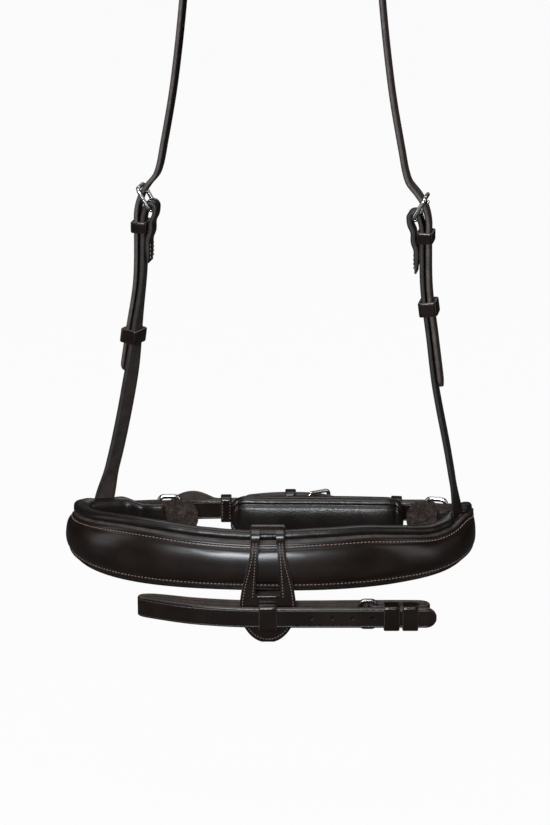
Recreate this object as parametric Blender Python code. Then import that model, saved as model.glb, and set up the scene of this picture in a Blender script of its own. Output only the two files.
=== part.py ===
# Crank noseband with a flash strap, for a horse's bridle.
# Metres, +Z up, front of the nosepiece towards -Y. The origin is under the crown of the head strap,
# where it rests on the poll behind the ears, and the noseband hangs below it.

import math

import bmesh
import bpy
import numpy as np
from mathutils import Matrix, Vector

MM = 0.001

# Gaps between pieces that touch, and the overrun of every cutter
GAP = 0.3 * MM
PLAY = 0.6 * MM
CUT_OVERRUN = 4.0 * MM

# The closed loop that the nosepiece and the crank strap follow, seen from above
HANG_DROP = 468.0 * MM
LOOP_HALF_WIDTH = 128.8 * MM
LOOP_FRONT_DEPTH = 76.0 * MM
LOOP_REAR_DEPTH = 26.0 * MM
LOOP_FRONT_POWER_SHARE = 2.1
LOOP_REAR_POWER_SHARE = 2.6
LOOP_CENTRE_X = -7.2 * MM
LOOP_CENTRE_Y = 4.8 * MM
LOOP_TWIST = math.radians(10.0)
LOOP_SAMPLES = 1440
LOOP_TANGENT_REACH = 2.0 * MM

# Stations along a strap: read finely, then kept where it bends
ROUTE_STEP = 0.7 * MM
ROUTE_BEND = math.radians(9.0)
ROUTE_REACH = 9.0 * MM

# Nosepiece: stitched leather with a raised panel over a padded lining
NOSE_CENTRE_S = -20.0 * MM
NOSE_HALF_LENGTH = 206.0 * MM
NOSE_HALF_HEIGHT = 13.7 * MM
NOSE_CHEEK_REACH = 115.0 * MM
NOSE_LEAN = 3.0 * MM
NOSE_LEATHER = 2.8 * MM
SHOULDER_RISE = 2.0 * MM
PANEL_RISE = 2.6 * MM
PANEL_EDGE_SHARE = 0.74
NOSE_STATIONS = 60
ROLL_RISE = 4.8 * MM
ROLL_HANG = 2.2 * MM
PADDING_DEPTH = 8.6 * MM
PADDING_END_SHARE = 0.42
PANEL_FOLLOW_SHARE = 0.8
LEAN_LIMIT_SHARE = 0.6
ROLL_FADE = 26.0 * MM
PADDING_PAST_END = 7.0 * MM
PADDING_TUCK = 20.0 * MM

# Skin guards, the thin tabs that keep the rings off the skin
GUARD_LENGTH = 34.0 * MM
GUARD_OVERLAP = 5.0 * MM
GUARD_HEIGHT = 23.0 * MM
GUARD_THICK = 2.2 * MM
GUARD_CORNER = 9.0 * MM
GUARD_INSET = 7.6 * MM
GUARD_Z = 1.0 * MM

# Rings at the nosepiece ends
RING_WIRE = 3.2 * MM
RING_LENGTH = 12.6 * MM
RING_HEIGHT = 17.4 * MM
RING_CORNER = 3.0 * MM
RING_PAST_END = 10.4 * MM
CHAPE_THICK = 1.6 * MM
CHAPE_LENGTH = 14.0 * MM
CHAPE_HEIGHT = 11.2 * MM

# All narrow straps are half-inch leather
STRAP_WIDTH = 13.0 * MM
STRAP_THICK = 3.0 * MM

# Head strap and cheek straps, half coordinates from the middle of the head strap
CROWN_HALF_WIDTH = 55.0 * MM
POLL_SEAT_LENGTH = 16.0 * MM
HOLE_PITCH = 18.6 * MM
HOLE_DIAMETER = 3.4 * MM
HOLE_COUNT = 9
HEEL_X = 82.0 * MM
HEEL_Z = 206.5 * MM
BUCKLE_WIRE = 2.6 * MM
BUCKLE_REACH = 14.5 * MM
BUCKLE_SLOPE = math.radians(61.0)
BUCKLE_INNER_WIDTH = 14.6 * MM
TONGUE_WIRE = 2.0 * MM
CHEEK_CHAPE_LENGTH = 34.5 * MM
KEEPER_WALL = 1.3 * MM
KEEPER_WIDTH = 7.0 * MM
FIXED_KEEPER_DOWN = 12.0 * MM
LEFT_RUNNING_KEEPER_DOWN = 82.5 * MM
RIGHT_RUNNING_KEEPER_DOWN = 56.5 * MM
RUNNING_KEEPER_WIDTH = 9.0 * MM
STACK_OUT = 5.2 * MM
CHEEK_FOLD_LEAD = 21.0 * MM
BILLET_STRAIGHT = 18.0 * MM
CHEEK_SEAT_DEPTH = 6.0 * MM
CHEEK_SEAT_SLACK = 3.0 * MM
SKIVED_THICK = 1.6 * MM
LEFT_CHEEK_SPREAD = 173.0 * MM
RIGHT_CHEEK_SPREAD = 157.0 * MM
LEFT_STRAP_TURN = math.radians(28.0)
POCKET_HALF_DEPTH = 3.7 * MM
SEAT_TWIST_SHARE = 0.7
TURN_START_DOWN = 44.0 * MM
TURN_DROP = 75.0 * MM

# Crank strap, doubled back through both rings and buckled behind the chin
CRANK_Z = 4.0 * MM
CRANK_INNER_INSET = 3.4 * MM
CRANK_OUTER_INSET = -0.2 * MM
CRANK_HEEL_U = 24.0 * MM
CRANK_HEEL_OUT = 3.2 * MM
CRANK_TAIL_LENGTH = 44.0 * MM
CRANK_RISE = 4.6 * MM
CRANK_RISE_AWAY = -6.0 * MM
CRANK_RISE_LENGTH = 31.0 * MM
CRANK_CHAPE_LENGTH = 24.0 * MM
CRANK_FOLD_LEAD = 20.0 * MM
PAD_U = 29.5 * MM
PAD_LENGTH = 113.0 * MM
PAD_HEIGHT = 28.5 * MM
PAD_CROWN = 9.0 * MM
PAD_CORNER = 11.0 * MM
PAD_Z = 1.4 * MM
BACKING_THICK = 2.0 * MM
BACKING_MARGIN = 1.2 * MM
PAD_LOOP_AWAY = 5.5 * MM

# Flash loop and flash strap
FLASH_X = -2.5 * MM
SLING_HALF_TOP = 10.6 * MM
SLING_HALF_BACK = 9.0 * MM
TAB_HALF_WIDTH = 17.2 * MM
TAB_BOTTOM_Z = -46.5 * MM
TAB_ROUND = 21.5 * MM
LEG_SPREAD_TOP_Z = 16.0 * MM
LEG_SPREAD_LOW_Z = -24.0 * MM
BAND_END_Z = -27.0 * MM
TAB_STATIONS = 9
SLING_THICK = 2.2 * MM
SLOT_Z = -17.0 * MM
WINDOW_HALF_TOP = 4.7 * MM
WINDOW_HALF_BOTTOM = 7.6 * MM
TAB_FRONT_Y = -5.2 * MM
FLASH_Z = -29.4 * MM
FLASH_STRAP_Y = -9.6 * MM
FLASH_BAR_BACK = 2.8 * MM
FLASH_REAR_BACK = 9.2 * MM
FLASH_SWING_RADIUS = 280.0 * MM
FLASH_LEFT_REACH = 79.0 * MM
FLASH_HEEL_U = 66.0 * MM
FLASH_BUCKLE_REACH = 9.4 * MM
FLASH_FIXED_KEEPER_AWAY = 9.6 * MM
FLASH_RUNNING_KEEPER_AWAY = 21.0 * MM
FLASH_FOLD_AWAY = 32.0 * MM
FLASH_TIP_AWAY = 37.0 * MM
FLASH_FOLD_REACH = 6.0 * MM
FLASH_KEEPER_WIDTH = 9.6 * MM
TAB_KEEPER_WIDTH = 11.0 * MM
FLASH_HOLE_PITCH = 12.4 * MM
FLASH_HOLE_FROM_TIP = 14.0 * MM
FLASH_HOLE_DIAMETER = 2.7 * MM
FLASH_HOLE_COUNT = 6
WINDOW_REACH = 8.0 * MM
FLASH_STRAIGHT_U = 30.0 * MM

# Sizes that follow from the ones above
LAYER_STEP = STRAP_THICK + PLAY
FOLD_RADIUS = BUCKLE_WIRE / 2 + GAP + STRAP_THICK / 2
TONGUE_SLOT = TONGUE_WIRE + 2 * PLAY
KEEPER_DEPTH = LAYER_STEP + STRAP_THICK + 2 * PLAY

# Edges of the nosepiece along its half length, and their heights as shares of its half height
NOSE_TOP_SHARES = ((-1.0, 0.47), (-0.84, 0.62), (-0.70, 0.70), (-0.52, 1.0), (-0.38, 1.2), (-0.27, 1.2),
                   (-0.15, 1.1), (0.04, 1.0), (0.28, 1.08), (0.40, 1.06), (0.50, 0.88), (0.64, 0.62),
                   (0.71, 0.72), (0.77, 0.95), (0.86, 0.8), (1.0, 0.40))
NOSE_BOTTOM_SHARES = ((-1.0, -0.58), (-0.83, -0.68), (-0.68, -0.80), (-0.5, -1.0), (0.0, -1.0), (0.5, -1.02),
                      (0.69, -0.93), (0.77, -0.81), (0.85, -0.71), (1.0, -0.58))

# Shares of the half height and of the panel's rise across the padding's front, from the bottom up
PADDING_SECTION_SHARES = ((-1.0, 0.0), (-0.72, 0.0), (-0.4, -1.0), (0.0, -1.0), (0.4, -1.0), (0.72, 0.0),
                          (1.0, 0.0))

# The roll above the leather and the sag below it: out and up as shares of the depth and the rise
ROLL_SECTION_SHARES = ((0.08, 0.10), (0.30, 0.40), (0.20, 0.78), (-0.12, 1.0), (-0.62, 0.92), (-0.95, 0.45))
SAG_SECTION_SHARES = ((-0.7, 0.75), (-0.25, 1.0), (0.1, 0.75), (0.2, 0.35))
LINING_SHARES = ((0.8, 1.0), (0.3, 0.92), (-0.3, 0.92), (-0.85, 1.0))

# A strap's fold round a heel bar, past its arc: down the strap and outward, as shares of STACK_OUT
FOLD_LEAD_SHARES = ((-2.5, 1.0), (-1.25, 0.942))
FOLD_RETURN_SHARES = ((-0.846, -0.481), (-1.731, -0.096), (-2.885, -0.038))
FOLD_LANDING_SHARE = 3.942

# A billet from inside the far bar to the outside of the strap, up and outward, as shares of STACK_OUT
BILLET_SHARES = ((4.288, -0.808), (2.731, 0.365), (1.731, 1.019), (0.577, 1.462))
BILLET_LANDING_SHARES = (0.769, 2.115)
TONGUE_CROSSING_SHARES = (1.173, 1.25)

# Middle line of the cheek straps above the nosepiece: spread past the heel as shares of what is left to
# the loop's half width, and heights as shares of the heel's height
CHEEK_LINE_SHARES = ((0.504, 0.2663), (0.312, 0.4843), (0.222, 0.6344), (0.1325, 0.7845))

# Half of the head strap above its billet: shares of the crown's half width, of what the heels are wider,
# and of the drop from the crown to the heels
CROWN_SHARES = ((0.42, 0.0, 0.0099), (0.76, 0.0, 0.065), (0.96, 0.0, 0.1606), (1.04, 0.0, 0.3059),
                (1.0, 0.185, 0.478), (1.0, 0.426, 0.6922), (1.0, 0.689, 0.8451))

# Crank strap on its way to and from its buckle: along in strap widths, outward in strap thicknesses
CRANK_LEAVE_SHARES = ((2.154, 0.733), (3.077, 0.267), (3.615, 0.0))
CRANK_BAR_SHARES = (1.692, 1.077, 1.231)
CRANK_MIDDLE_SHARE = 1.538
CRANK_RETURN_SHARE = 2.923
CRANK_TAIL_SHARES = (2.154, 0.533, 0.533)

# Left half of the flash strap, rear run then front run: shares of its reach and, back, of the strap width
FLASH_REAR_SHARES = ((0.152, 0.692), (0.557, 1.038), (0.886, 1.569), (0.987, 1.531), (1.0, 1.308),
                     (0.937, 1.031), (0.633, 0.277))
FLASH_FRONT_SHARES = ((0.38, 0.2), (0.152, 0.031))
FLASH_REAR_RIGHT_SHARES = ((0.88, 0.0), (0.364, 0.046))
FLASH_CHAPE_SHARES = ((0.77, 0.867), (0.385, 0.933))
FLASH_FOLD_SHARES = (0.466, 0.5)

# Flash sling's side profile in shares of its thickness, and down the front in shares of the half height
SLING_LOW_SHARES = ((1.09, 0.91), (2.27, 0.545), (1.36, 0.27))
SLING_END_SHARE = 2.05
SLING_BACK_SHARES = ((1.2, 1.82), (1.7, 0.0), (1.9, 3.18), (1.3, 0.545))
SLING_TOP_SHARES = ((1.82, 0.364), (1.364, 0.18), (-0.4545, -0.4545), (-0.864, -2.727))
SLING_FRONT_SHARES = ((-1.682, 0.511), (-2.136, 0.0), (-2.136, -0.584))
SLING_TAB_SHARES = (-1.46, -2.48)
WINDOW_TOP_SHARE = 0.9


def loop_table():
    """Points, arc lengths and outward normals of the plan loop, once round from the rear."""
    angle = np.linspace(-math.pi, math.pi, LOOP_SAMPLES + 1)
    sine = np.sin(angle)
    cosine = np.cos(angle)
    front = cosine > 0
    power = np.where(front, LOOP_FRONT_POWER_SHARE, LOOP_REAR_POWER_SHARE)
    depth = np.where(front, -LOOP_FRONT_DEPTH, LOOP_REAR_DEPTH)
    x = LOOP_HALF_WIDTH * np.sign(sine) * np.abs(sine) ** (2 / power)
    y = depth * np.abs(cosine) ** (2 / power)
    points = np.stack([x, y], axis=1)
    steps = np.linalg.norm(np.diff(points, axis=0), axis=1)
    length = np.concatenate([[0], np.cumsum(steps)])
    return points, length - np.interp(0, angle, length), length[-1]


LOOP_POINTS, LOOP_S, LOOP_LENGTH = loop_table()


def loop_plan(s, inset=0.0):
    """Plan place, tangent and outward normal at arc length s, set in from the outer face."""
    s = (np.asarray(s, float) - LOOP_S[0]) % LOOP_LENGTH + LOOP_S[0]
    place = []
    for step in (-LOOP_TANGENT_REACH, 0, LOOP_TANGENT_REACH):
        at = (s + step - LOOP_S[0]) % LOOP_LENGTH + LOOP_S[0]
        place.append(np.stack([np.interp(at, LOOP_S, LOOP_POINTS[:, i]) for i in (0, 1)], axis=-1))
    tangent = place[2] - place[0]
    tangent = tangent / np.linalg.norm(tangent, axis=-1, keepdims=True)
    outward = np.stack([tangent[..., 1], -tangent[..., 0]], axis=-1)
    return place[1] - outward * np.asarray(inset)[..., None], tangent, outward


def to_world(local_xy, z):
    """Turn plan places of the loop into the part's frame, z measured from the noseband's middle."""
    c = math.cos(LOOP_TWIST)
    s = math.sin(LOOP_TWIST)
    local_xy = np.asarray(local_xy, float)
    x = LOOP_CENTRE_X + c * local_xy[..., 0] - s * local_xy[..., 1]
    y = LOOP_CENTRE_Y + s * local_xy[..., 0] + c * local_xy[..., 1]
    return np.stack([x, y, np.broadcast_to(np.asarray(z) - HANG_DROP, x.shape)], axis=-1)


def turn_plan(direction):
    """Turn a plan direction of the loop into the part's frame."""
    c = math.cos(LOOP_TWIST)
    s = math.sin(LOOP_TWIST)
    direction = np.asarray(direction, float)
    x = c * direction[..., 0] - s * direction[..., 1]
    y = s * direction[..., 0] + c * direction[..., 1]
    return np.stack([x, y, np.zeros_like(x)], axis=-1)


def smooth_line(points, step):
    """A smooth curve through the points, read at even steps along it."""
    points = np.asarray(points, float)
    ends = np.concatenate([[2 * points[0] - points[1]], points, [2 * points[-1] - points[-2]]])
    fine = []
    shares = np.linspace(0, 1, 16, endpoint=False)[:, None]
    for i in range(1, len(ends) - 2):
        before, start, end, after = ends[i - 1], ends[i], ends[i + 1], ends[i + 2]
        span = np.linalg.norm(end - start)
        leave = (end - before) / (np.linalg.norm(start - before) + span) * span
        arrive = (after - start) / (np.linalg.norm(after - end) + span) * span
        fine.append((2 * shares ** 3 - 3 * shares ** 2 + 1) * start
                    + (shares ** 3 - 2 * shares ** 2 + shares) * leave
                    + (-2 * shares ** 3 + 3 * shares ** 2) * end
                    + (shares ** 3 - shares ** 2) * arrive)
    fine = np.concatenate(fine + [points[-1:]])
    along = np.concatenate([[0], np.cumsum(np.linalg.norm(np.diff(fine, axis=0), axis=1))])
    count = max(2, int(round(along[-1] / step)) + 1)
    even = np.linspace(0, along[-1], count)
    return np.stack([np.interp(even, along, fine[:, i]) for i in range(fine.shape[1])], axis=1)


def thin_line(points, bend, reach):
    """Leave out points where the line hardly turns, keeping one at least every reach."""
    points = np.asarray(points, float)
    direction = np.diff(points, axis=0)
    direction = direction / np.linalg.norm(direction, axis=1, keepdims=True)
    kept = [0]
    for i in range(1, len(points) - 1):
        turned = math.acos(min(1.0, float(np.dot(direction[kept[-1]], direction[i]))))
        if turned > bend or np.linalg.norm(points[i] - points[kept[-1]]) > reach:
            kept.append(i)
    return points[kept + [len(points) - 1]]


def strap_line(points):
    """Smooth strap route with its stations close together only where it bends."""
    return thin_line(smooth_line(points, ROUTE_STEP), ROUTE_BEND, ROUTE_REACH)


def arc_lengths(points):
    return np.concatenate([[0], np.cumsum(np.linalg.norm(np.diff(points, axis=0), axis=1))])


def nearest_along(line, along, place):
    """Arc length of the point of a line that lies nearest to a place."""
    fine = np.arange(0, along[-1], ROUTE_STEP / 4)
    points = np.stack([np.interp(fine, along, line[:, k]) for k in range(3)], axis=1)
    return float(fine[np.argmin(np.linalg.norm(points - place, axis=1))])


def unit(vectors):
    vectors = np.asarray(vectors, float)
    return vectors / np.linalg.norm(vectors, axis=-1, keepdims=True)


def smooth_share(value):
    value = np.clip(value, 0, 1)
    return value * value * (3 - 2 * value)


def make_material(name, colour, roughness, metallic=0.0):
    material = bpy.data.materials.new(name)
    material.use_nodes = True
    shader = material.node_tree.nodes["Principled BSDF"]
    shader.inputs["Base Color"].default_value = (*colour, 1)
    shader.inputs["Roughness"].default_value = roughness
    shader.inputs["Metallic"].default_value = metallic
    material.diffuse_color = (*colour, 1)
    return material


def place_object(name, data, material, parts, parent=None):
    thing = bpy.data.objects.new(name, data)
    data.materials.append(material)
    parts.objects.link(thing)
    if parent is not None:
        thing.parent = parent
        thing.matrix_parent_inverse = parent.matrix_world.inverted()
    return thing


def pivot(name, place, parts):
    """An empty on a joint's axis, which carries the pieces that move with it."""
    empty = bpy.data.objects.new(name, None)
    empty.empty_display_size = RING_LENGTH
    empty.location = Vector(place)
    parts.objects.link(empty)
    bpy.context.view_layer.update()
    return empty


def loft(name, rings, material, parts, parent=None):
    """A closed solid through unlike closed sections, with a flat cap at each end."""
    rings = np.asarray(rings, float)
    count, sides = rings.shape[:2]
    mesh = bmesh.new()
    verts = [[mesh.verts.new(Vector(point)) for point in ring] for ring in rings]
    for i in range(count - 1):
        for j in range(sides):
            k = (j + 1) % sides
            mesh.faces.new((verts[i][j], verts[i][k], verts[i + 1][k], verts[i + 1][j]))
    for end in (verts[0], verts[-1]):
        if sides == 4:
            mesh.faces.new(end)
            continue
        middle = mesh.verts.new(sum((v.co for v in end), Vector()) / sides)
        for j in range(sides):
            mesh.faces.new((end[j], end[(j + 1) % sides], middle))
    bmesh.ops.recalc_face_normals(mesh, faces=mesh.faces)
    data = bpy.data.meshes.new(name)
    mesh.to_mesh(data)
    mesh.free()
    data.shade_smooth()
    data.set_sharp_from_angle(angle=math.radians(40))
    return place_object(name, data, material, parts, parent)


def ribbon_rings(path, across, half_width, half_thick):
    """Four-cornered sections of a strap: across is its width's direction at each point."""
    path = np.asarray(path, float)
    tangent = unit(np.gradient(path, axis=0))
    across = unit(across - tangent * np.sum(across * tangent, axis=1, keepdims=True))
    normal = np.cross(tangent, across)
    wide = across * np.broadcast_to(half_width, len(path))[:, None]
    thick = normal * np.broadcast_to(half_thick, len(path))[:, None]
    corners = ((1, 1), (-1, 1), (-1, -1), (1, -1))
    return np.stack([path + wide * side + thick * face for side, face in corners], axis=1)


def rounded_tip(along, half_width, tip):
    """Half widths of a strap whose far end is rounded over the length tip."""
    from_end = along[-1] - along
    share = np.clip(1 - from_end / tip, 0, 1)
    return half_width * np.sqrt(np.maximum(1 - share ** 2 * 0.93, 0))


def frame_matrix(place, x_axis, y_axis, z_axis):
    matrix = Matrix.Identity(4)
    for column, axis in enumerate((x_axis, y_axis, z_axis)):
        for row in range(3):
            matrix[row][column] = axis[row]
    matrix.translation = Vector(place)
    return matrix


def rounded_outline(half_x, half_y, corner, steps):
    """Points of a rounded rectangle, anticlockwise."""
    points = []
    for quarter, (sx, sy) in enumerate(((1, 1), (-1, 1), (-1, -1), (1, -1))):
        for i in range(steps + 1):
            angle = (quarter + i / steps) * math.pi / 2
            points.append((sx * (half_x - corner) + corner * math.cos(angle),
                           sy * (half_y - corner) + corner * math.sin(angle)))
    return points


def add_spline(curve, points, cyclic):
    spline = curve.splines.new("POLY")
    spline.points.add(len(points) - 1)
    for point, place in zip(spline.points, points):
        point.co = (*place, *(0,) * (3 - len(place)), 1)
    spline.use_cyclic_u = cyclic


def keeper(name, place, along, across, inner_width, inner_depth, length, material, parts, parent=None):
    """A leather loop round a stack of straps: an outline with a hole, drawn out along the strap."""
    curve = bpy.data.curves.new(name, "CURVE")
    curve.dimensions = "2D"
    curve.fill_mode = "BOTH"
    curve.extrude = length / 2
    corner = KEEPER_WALL / 2
    add_spline(curve, rounded_outline(inner_width / 2 + KEEPER_WALL, inner_depth / 2 + KEEPER_WALL,
                                      corner + KEEPER_WALL, 3), True)
    add_spline(curve, rounded_outline(inner_width / 2, inner_depth / 2, corner, 3), True)
    thing = bpy.data.objects.new(name, curve)
    curve.materials.append(material)
    parts.objects.link(thing)
    along = unit(along)
    across = unit(np.asarray(across) - along * np.dot(across, along))
    world = frame_matrix(place, across, np.cross(along, across), along)
    thing.matrix_world = world
    if parent is not None:
        thing.parent = parent
        thing.matrix_parent_inverse = parent.matrix_world.inverted()
    return thing


def wire(name, points, diameter, cyclic, material, parts, parent=None, resolution=1):
    curve = bpy.data.curves.new(name, "CURVE")
    curve.dimensions = "3D"
    curve.bevel_depth = diameter / 2
    curve.bevel_resolution = resolution
    curve.use_fill_caps = True
    add_spline(curve, [tuple(p) for p in points], cyclic)
    return place_object(name, curve, material, parts, parent)


def box_cutter(name, place, axes, sizes, cutters):
    bpy.ops.mesh.primitive_cube_add(size=1)
    thing = bpy.context.active_object
    thing.name = name
    for holder in list(thing.users_collection):
        holder.objects.unlink(thing)
    cutters.objects.link(thing)
    thing.matrix_world = frame_matrix(place, *axes) @ Matrix.Diagonal((*sizes, 1))
    thing.display_type = "WIRE"
    thing.hide_render = True
    return thing


def hole_cutter(name, place, direction, diameter, depth, cutters):
    bpy.ops.mesh.primitive_cylinder_add(vertices=12, radius=diameter / 2, depth=depth)
    thing = bpy.context.active_object
    thing.name = name
    for holder in list(thing.users_collection):
        holder.objects.unlink(thing)
    cutters.objects.link(thing)
    turn = Vector((0, 0, 1)).rotation_difference(Vector(direction)).to_matrix().to_4x4()
    thing.matrix_world = Matrix.Translation(Vector(place)) @ turn
    thing.display_type = "WIRE"
    thing.hide_render = True
    return thing


def cut(thing, cutter):
    boolean = thing.modifiers.new(cutter.name, "BOOLEAN")
    boolean.operation = "DIFFERENCE"
    boolean.object = cutter


def along_shares(away, table):
    """Smooth reading of a table of shares along the nosepiece."""
    places = np.array([place for place, value in table])
    values = np.array([value for place, value in table])
    at = np.clip(np.atleast_1d(away) / NOSE_HALF_LENGTH, -1, 1)
    i = np.clip(np.searchsorted(places, at) - 1, 0, len(places) - 2)
    slopes = np.gradient(values, places)
    width = places[i + 1] - places[i]
    share = (at - places[i]) / width
    start = (2 * share ** 3 - 3 * share ** 2 + 1) * values[i]
    start = start + (share ** 3 - 2 * share ** 2 + share) * slopes[i] * width
    end = (3 * share ** 2 - 2 * share ** 3) * values[i + 1]
    end = end + (share ** 3 - share ** 2) * slopes[i + 1] * width
    return (start + end)[0] if np.ndim(away) == 0 else start + end


def nose_edges(away):
    """Heights of the nosepiece leather's bottom and top edge at a distance along it from its middle."""
    top = along_shares(away, NOSE_TOP_SHARES)
    bottom = along_shares(away, NOSE_BOTTOM_SHARES)
    return bottom * NOSE_HALF_HEIGHT, top * NOSE_HALF_HEIGHT


def nose_lean(away):
    """How far the nosepiece leans in at its top edge, fading out towards its ends."""
    reach = (abs(away) - NOSE_CHEEK_REACH) / (NOSE_HALF_LENGTH - NOSE_CHEEK_REACH)
    return NOSE_LEAN * (1 - smooth_share(reach))


def nose_section(s, out, z):
    """World points of one upright section of the noseband at arc length s."""
    place, tangent, outward = loop_plan(s)
    flat = place + outward * np.asarray(out)[:, None]
    return to_world(flat, z)


def panel_rise(share):
    """How far the raised panel stands out at a share of the half height."""
    inside = np.clip(1 - (np.abs(share) / PANEL_EDGE_SHARE) ** 4, 0, 1)
    return PANEL_RISE * inside ** 0.5


def build_nosepiece_leather(material, parts):
    shares = np.array([-1, -0.78, -0.66, -0.4, 0, 0.4, 0.66, 0.78, 1])
    rings = []
    for away in np.linspace(-NOSE_HALF_LENGTH, NOSE_HALF_LENGTH, NOSE_STATIONS):
        bottom, top = nose_edges(away)
        end_share = smooth_share((NOSE_HALF_LENGTH - CHAPE_LENGTH - abs(away)) / GUARD_LENGTH)
        flat = shares * (top - bottom) / 2
        z = flat + (top + bottom) / 2
        out = panel_rise(shares) * end_share - nose_lean(away) * flat / (top - bottom)
        back = out - NOSE_LEATHER
        back_z = z + SHOULDER_RISE * (shares == 1)
        rings.append(nose_section(NOSE_CENTRE_S + away, np.concatenate([out, back[::-1]]),
                                  np.concatenate([z, back_z[::-1]])))
    return loft("nosepiece_leather", rings, material, parts)


def padding_fat(away):
    """Share of its full thickness that the padding has near its ends."""
    from_end = (NOSE_HALF_LENGTH - abs(away)) / ROLL_FADE
    return PADDING_END_SHARE + (1 - PADDING_END_SHARE) * smooth_share(from_end)


def build_nosepiece_padding(material, parts):
    rings = []
    reach = NOSE_HALF_LENGTH + PADDING_PAST_END
    stations = np.linspace(-NOSE_HALF_LENGTH, NOSE_HALF_LENGTH, NOSE_STATIONS)
    for away in np.concatenate([[-reach], stations, [reach]]):
        bottom, top = nose_edges(away)
        half = (top - bottom) / 2
        fade = smooth_share((NOSE_HALF_LENGTH - abs(away)) / ROLL_FADE)
        panel_share = smooth_share((NOSE_HALF_LENGTH - CHAPE_LENGTH - abs(away)) / GUARD_LENGTH)
        fat = padding_fat(away)
        tuck_reach = PADDING_TUCK - GUARD_OVERLAP - 4 * PLAY
        tuck = smooth_share((abs(away) - NOSE_HALF_LENGTH + PADDING_TUCK) / tuck_reach)
        skin = -NOSE_LEATHER - GAP - (GUARD_INSET + GUARD_THICK + PLAY - NOSE_LEATHER) * tuck
        lip = NOSE_LEATHER * fade
        out = []
        z = []
        for height_share, rise_share in PADDING_SECTION_SHARES:
            z.append(height_share * (half + GAP) + (SHOULDER_RISE if height_share == 1 else 0))
            out.append(skin - rise_share * PANEL_RISE * PANEL_FOLLOW_SHARE * panel_share)
        for out_share, rise_share in ROLL_SECTION_SHARES:
            z.append(half + SHOULDER_RISE + GAP + ROLL_RISE * fat * rise_share)
            out.append(skin + lip * max(out_share, 0) + PADDING_DEPTH * fat * min(out_share, 0))
        for height_share, depth_share in LINING_SHARES:
            z.append(height_share * half)
            out.append(skin - PADDING_DEPTH * fat * depth_share)
        for out_share, hang_share in SAG_SECTION_SHARES:
            z.append(-half - GAP - ROLL_HANG * fat * hang_share)
            out.append(skin + lip * max(out_share, 0) + PADDING_DEPTH * fat * min(out_share, 0))
        lean = nose_lean(away) * np.clip(np.array(z) / (2 * half), -LEAN_LIMIT_SHARE, LEAN_LIMIT_SHARE)
        z = np.array(z) + (top + bottom) / 2
        rings.append(nose_section(NOSE_CENTRE_S + away, np.array(out) - lean, z))
    return loft("nosepiece_padding", rings, material, parts)


def build_guard(side, material, parts):
    """A thin flesh-side leather tab inside the ring, rounded at its free end."""
    name = "left_skin_guard" if side < 0 else "right_skin_guard"
    along = np.linspace(-GUARD_OVERLAP, GUARD_LENGTH - GUARD_OVERLAP, 16)
    half = rounded_tip(along + GUARD_OVERLAP, GUARD_HEIGHT / 2, GUARD_CORNER)
    rings = []
    for step, half_height in zip(along, half):
        s = NOSE_CENTRE_S + side * (NOSE_HALF_LENGTH + step) + np.zeros(4)
        out = np.array([0, 0, -GUARD_THICK, -GUARD_THICK]) - GUARD_INSET
        z = GUARD_Z + np.array([-half_height, half_height, half_height, -half_height])
        rings.append(nose_section(s, out, z))
    return loft(name, rings, material, parts)


def ring_centre_s(side):
    return NOSE_CENTRE_S + side * (NOSE_HALF_LENGTH + RING_PAST_END)


def ring_frame(side):
    """Place and axes of a ring: along the loop away from the nosepiece, up, and outward."""
    place, tangent, outward = loop_plan(ring_centre_s(side), (CRANK_INNER_INSET + CRANK_OUTER_INSET) / 2)
    return to_world(place, CRANK_Z), turn_plan(tangent) * side, turn_plan(outward)


def build_ring(side, material, parts):
    name = "left_ring" if side < 0 else "right_ring"
    centre, away, outward = ring_frame(side)
    up = np.array([0.0, 0.0, 1.0])
    outline = rounded_outline(RING_LENGTH / 2, RING_HEIGHT / 2, RING_CORNER, 3)
    points = [centre + away * x + up * z for x, z in outline]
    axis = pivot(name + "_swivel", centre - away * RING_LENGTH / 2, parts)
    return wire(name, points, RING_WIRE, True, material, parts, axis)


def build_ring_chape(side, material, parts):
    """A short strap folded round the ring's near bar, its two ends lying either side of the leather."""
    name = "left_ring_chape" if side < 0 else "right_ring_chape"
    centre, away, outward = ring_frame(side)
    bar = centre - away * RING_LENGTH / 2
    radius = (RING_WIRE + CHAPE_THICK) / 2 + GAP
    angles = np.linspace(-math.pi * 0.5, math.pi * 0.5, 9)
    fold = [bar + away * radius * math.cos(a) + outward * radius * math.sin(a) for a in angles]
    path = list(fold)
    reach = RING_PAST_END - RING_LENGTH / 2
    for share in (0.05, 0.4, 0.7, 1.0):
        step = NOSE_HALF_LENGTH + reach / 2 - share * (CHAPE_LENGTH + reach / 2)
        place, tangent, out = loop_plan(NOSE_CENTRE_S + side * step, -CHAPE_THICK / 2 - GAP - PLAY)
        path.append(to_world(place, CRANK_Z))
    line = strap_line(path)
    across = np.tile([0.0, 0.0, 1.0], (len(line), 1))
    rings = ribbon_rings(line, across, CHAPE_HEIGHT / 2, CHAPE_THICK / 2)
    return loft(name, rings, material, parts)


def fold_points(lead, chape_length):
    """Strap coming up outside the heel bar, over it, and down its inner side to the chape's end."""
    points = [(-lead, STACK_OUT)]
    points += [(STACK_OUT * up, STACK_OUT * out) for up, out in FOLD_LEAD_SHARES]
    for angle in np.linspace(math.radians(80), math.radians(-80), 7):
        points.append((FOLD_RADIUS * math.cos(angle), FOLD_RADIUS * math.sin(angle)))
    points += [(STACK_OUT * up, STACK_OUT * out) for up, out in FOLD_RETURN_SHARES]
    landing = (STACK_OUT * FOLD_LANDING_SHARE, chape_length)
    return points + [(-down, STACK_OUT - LAYER_STEP) for down in landing]


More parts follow.
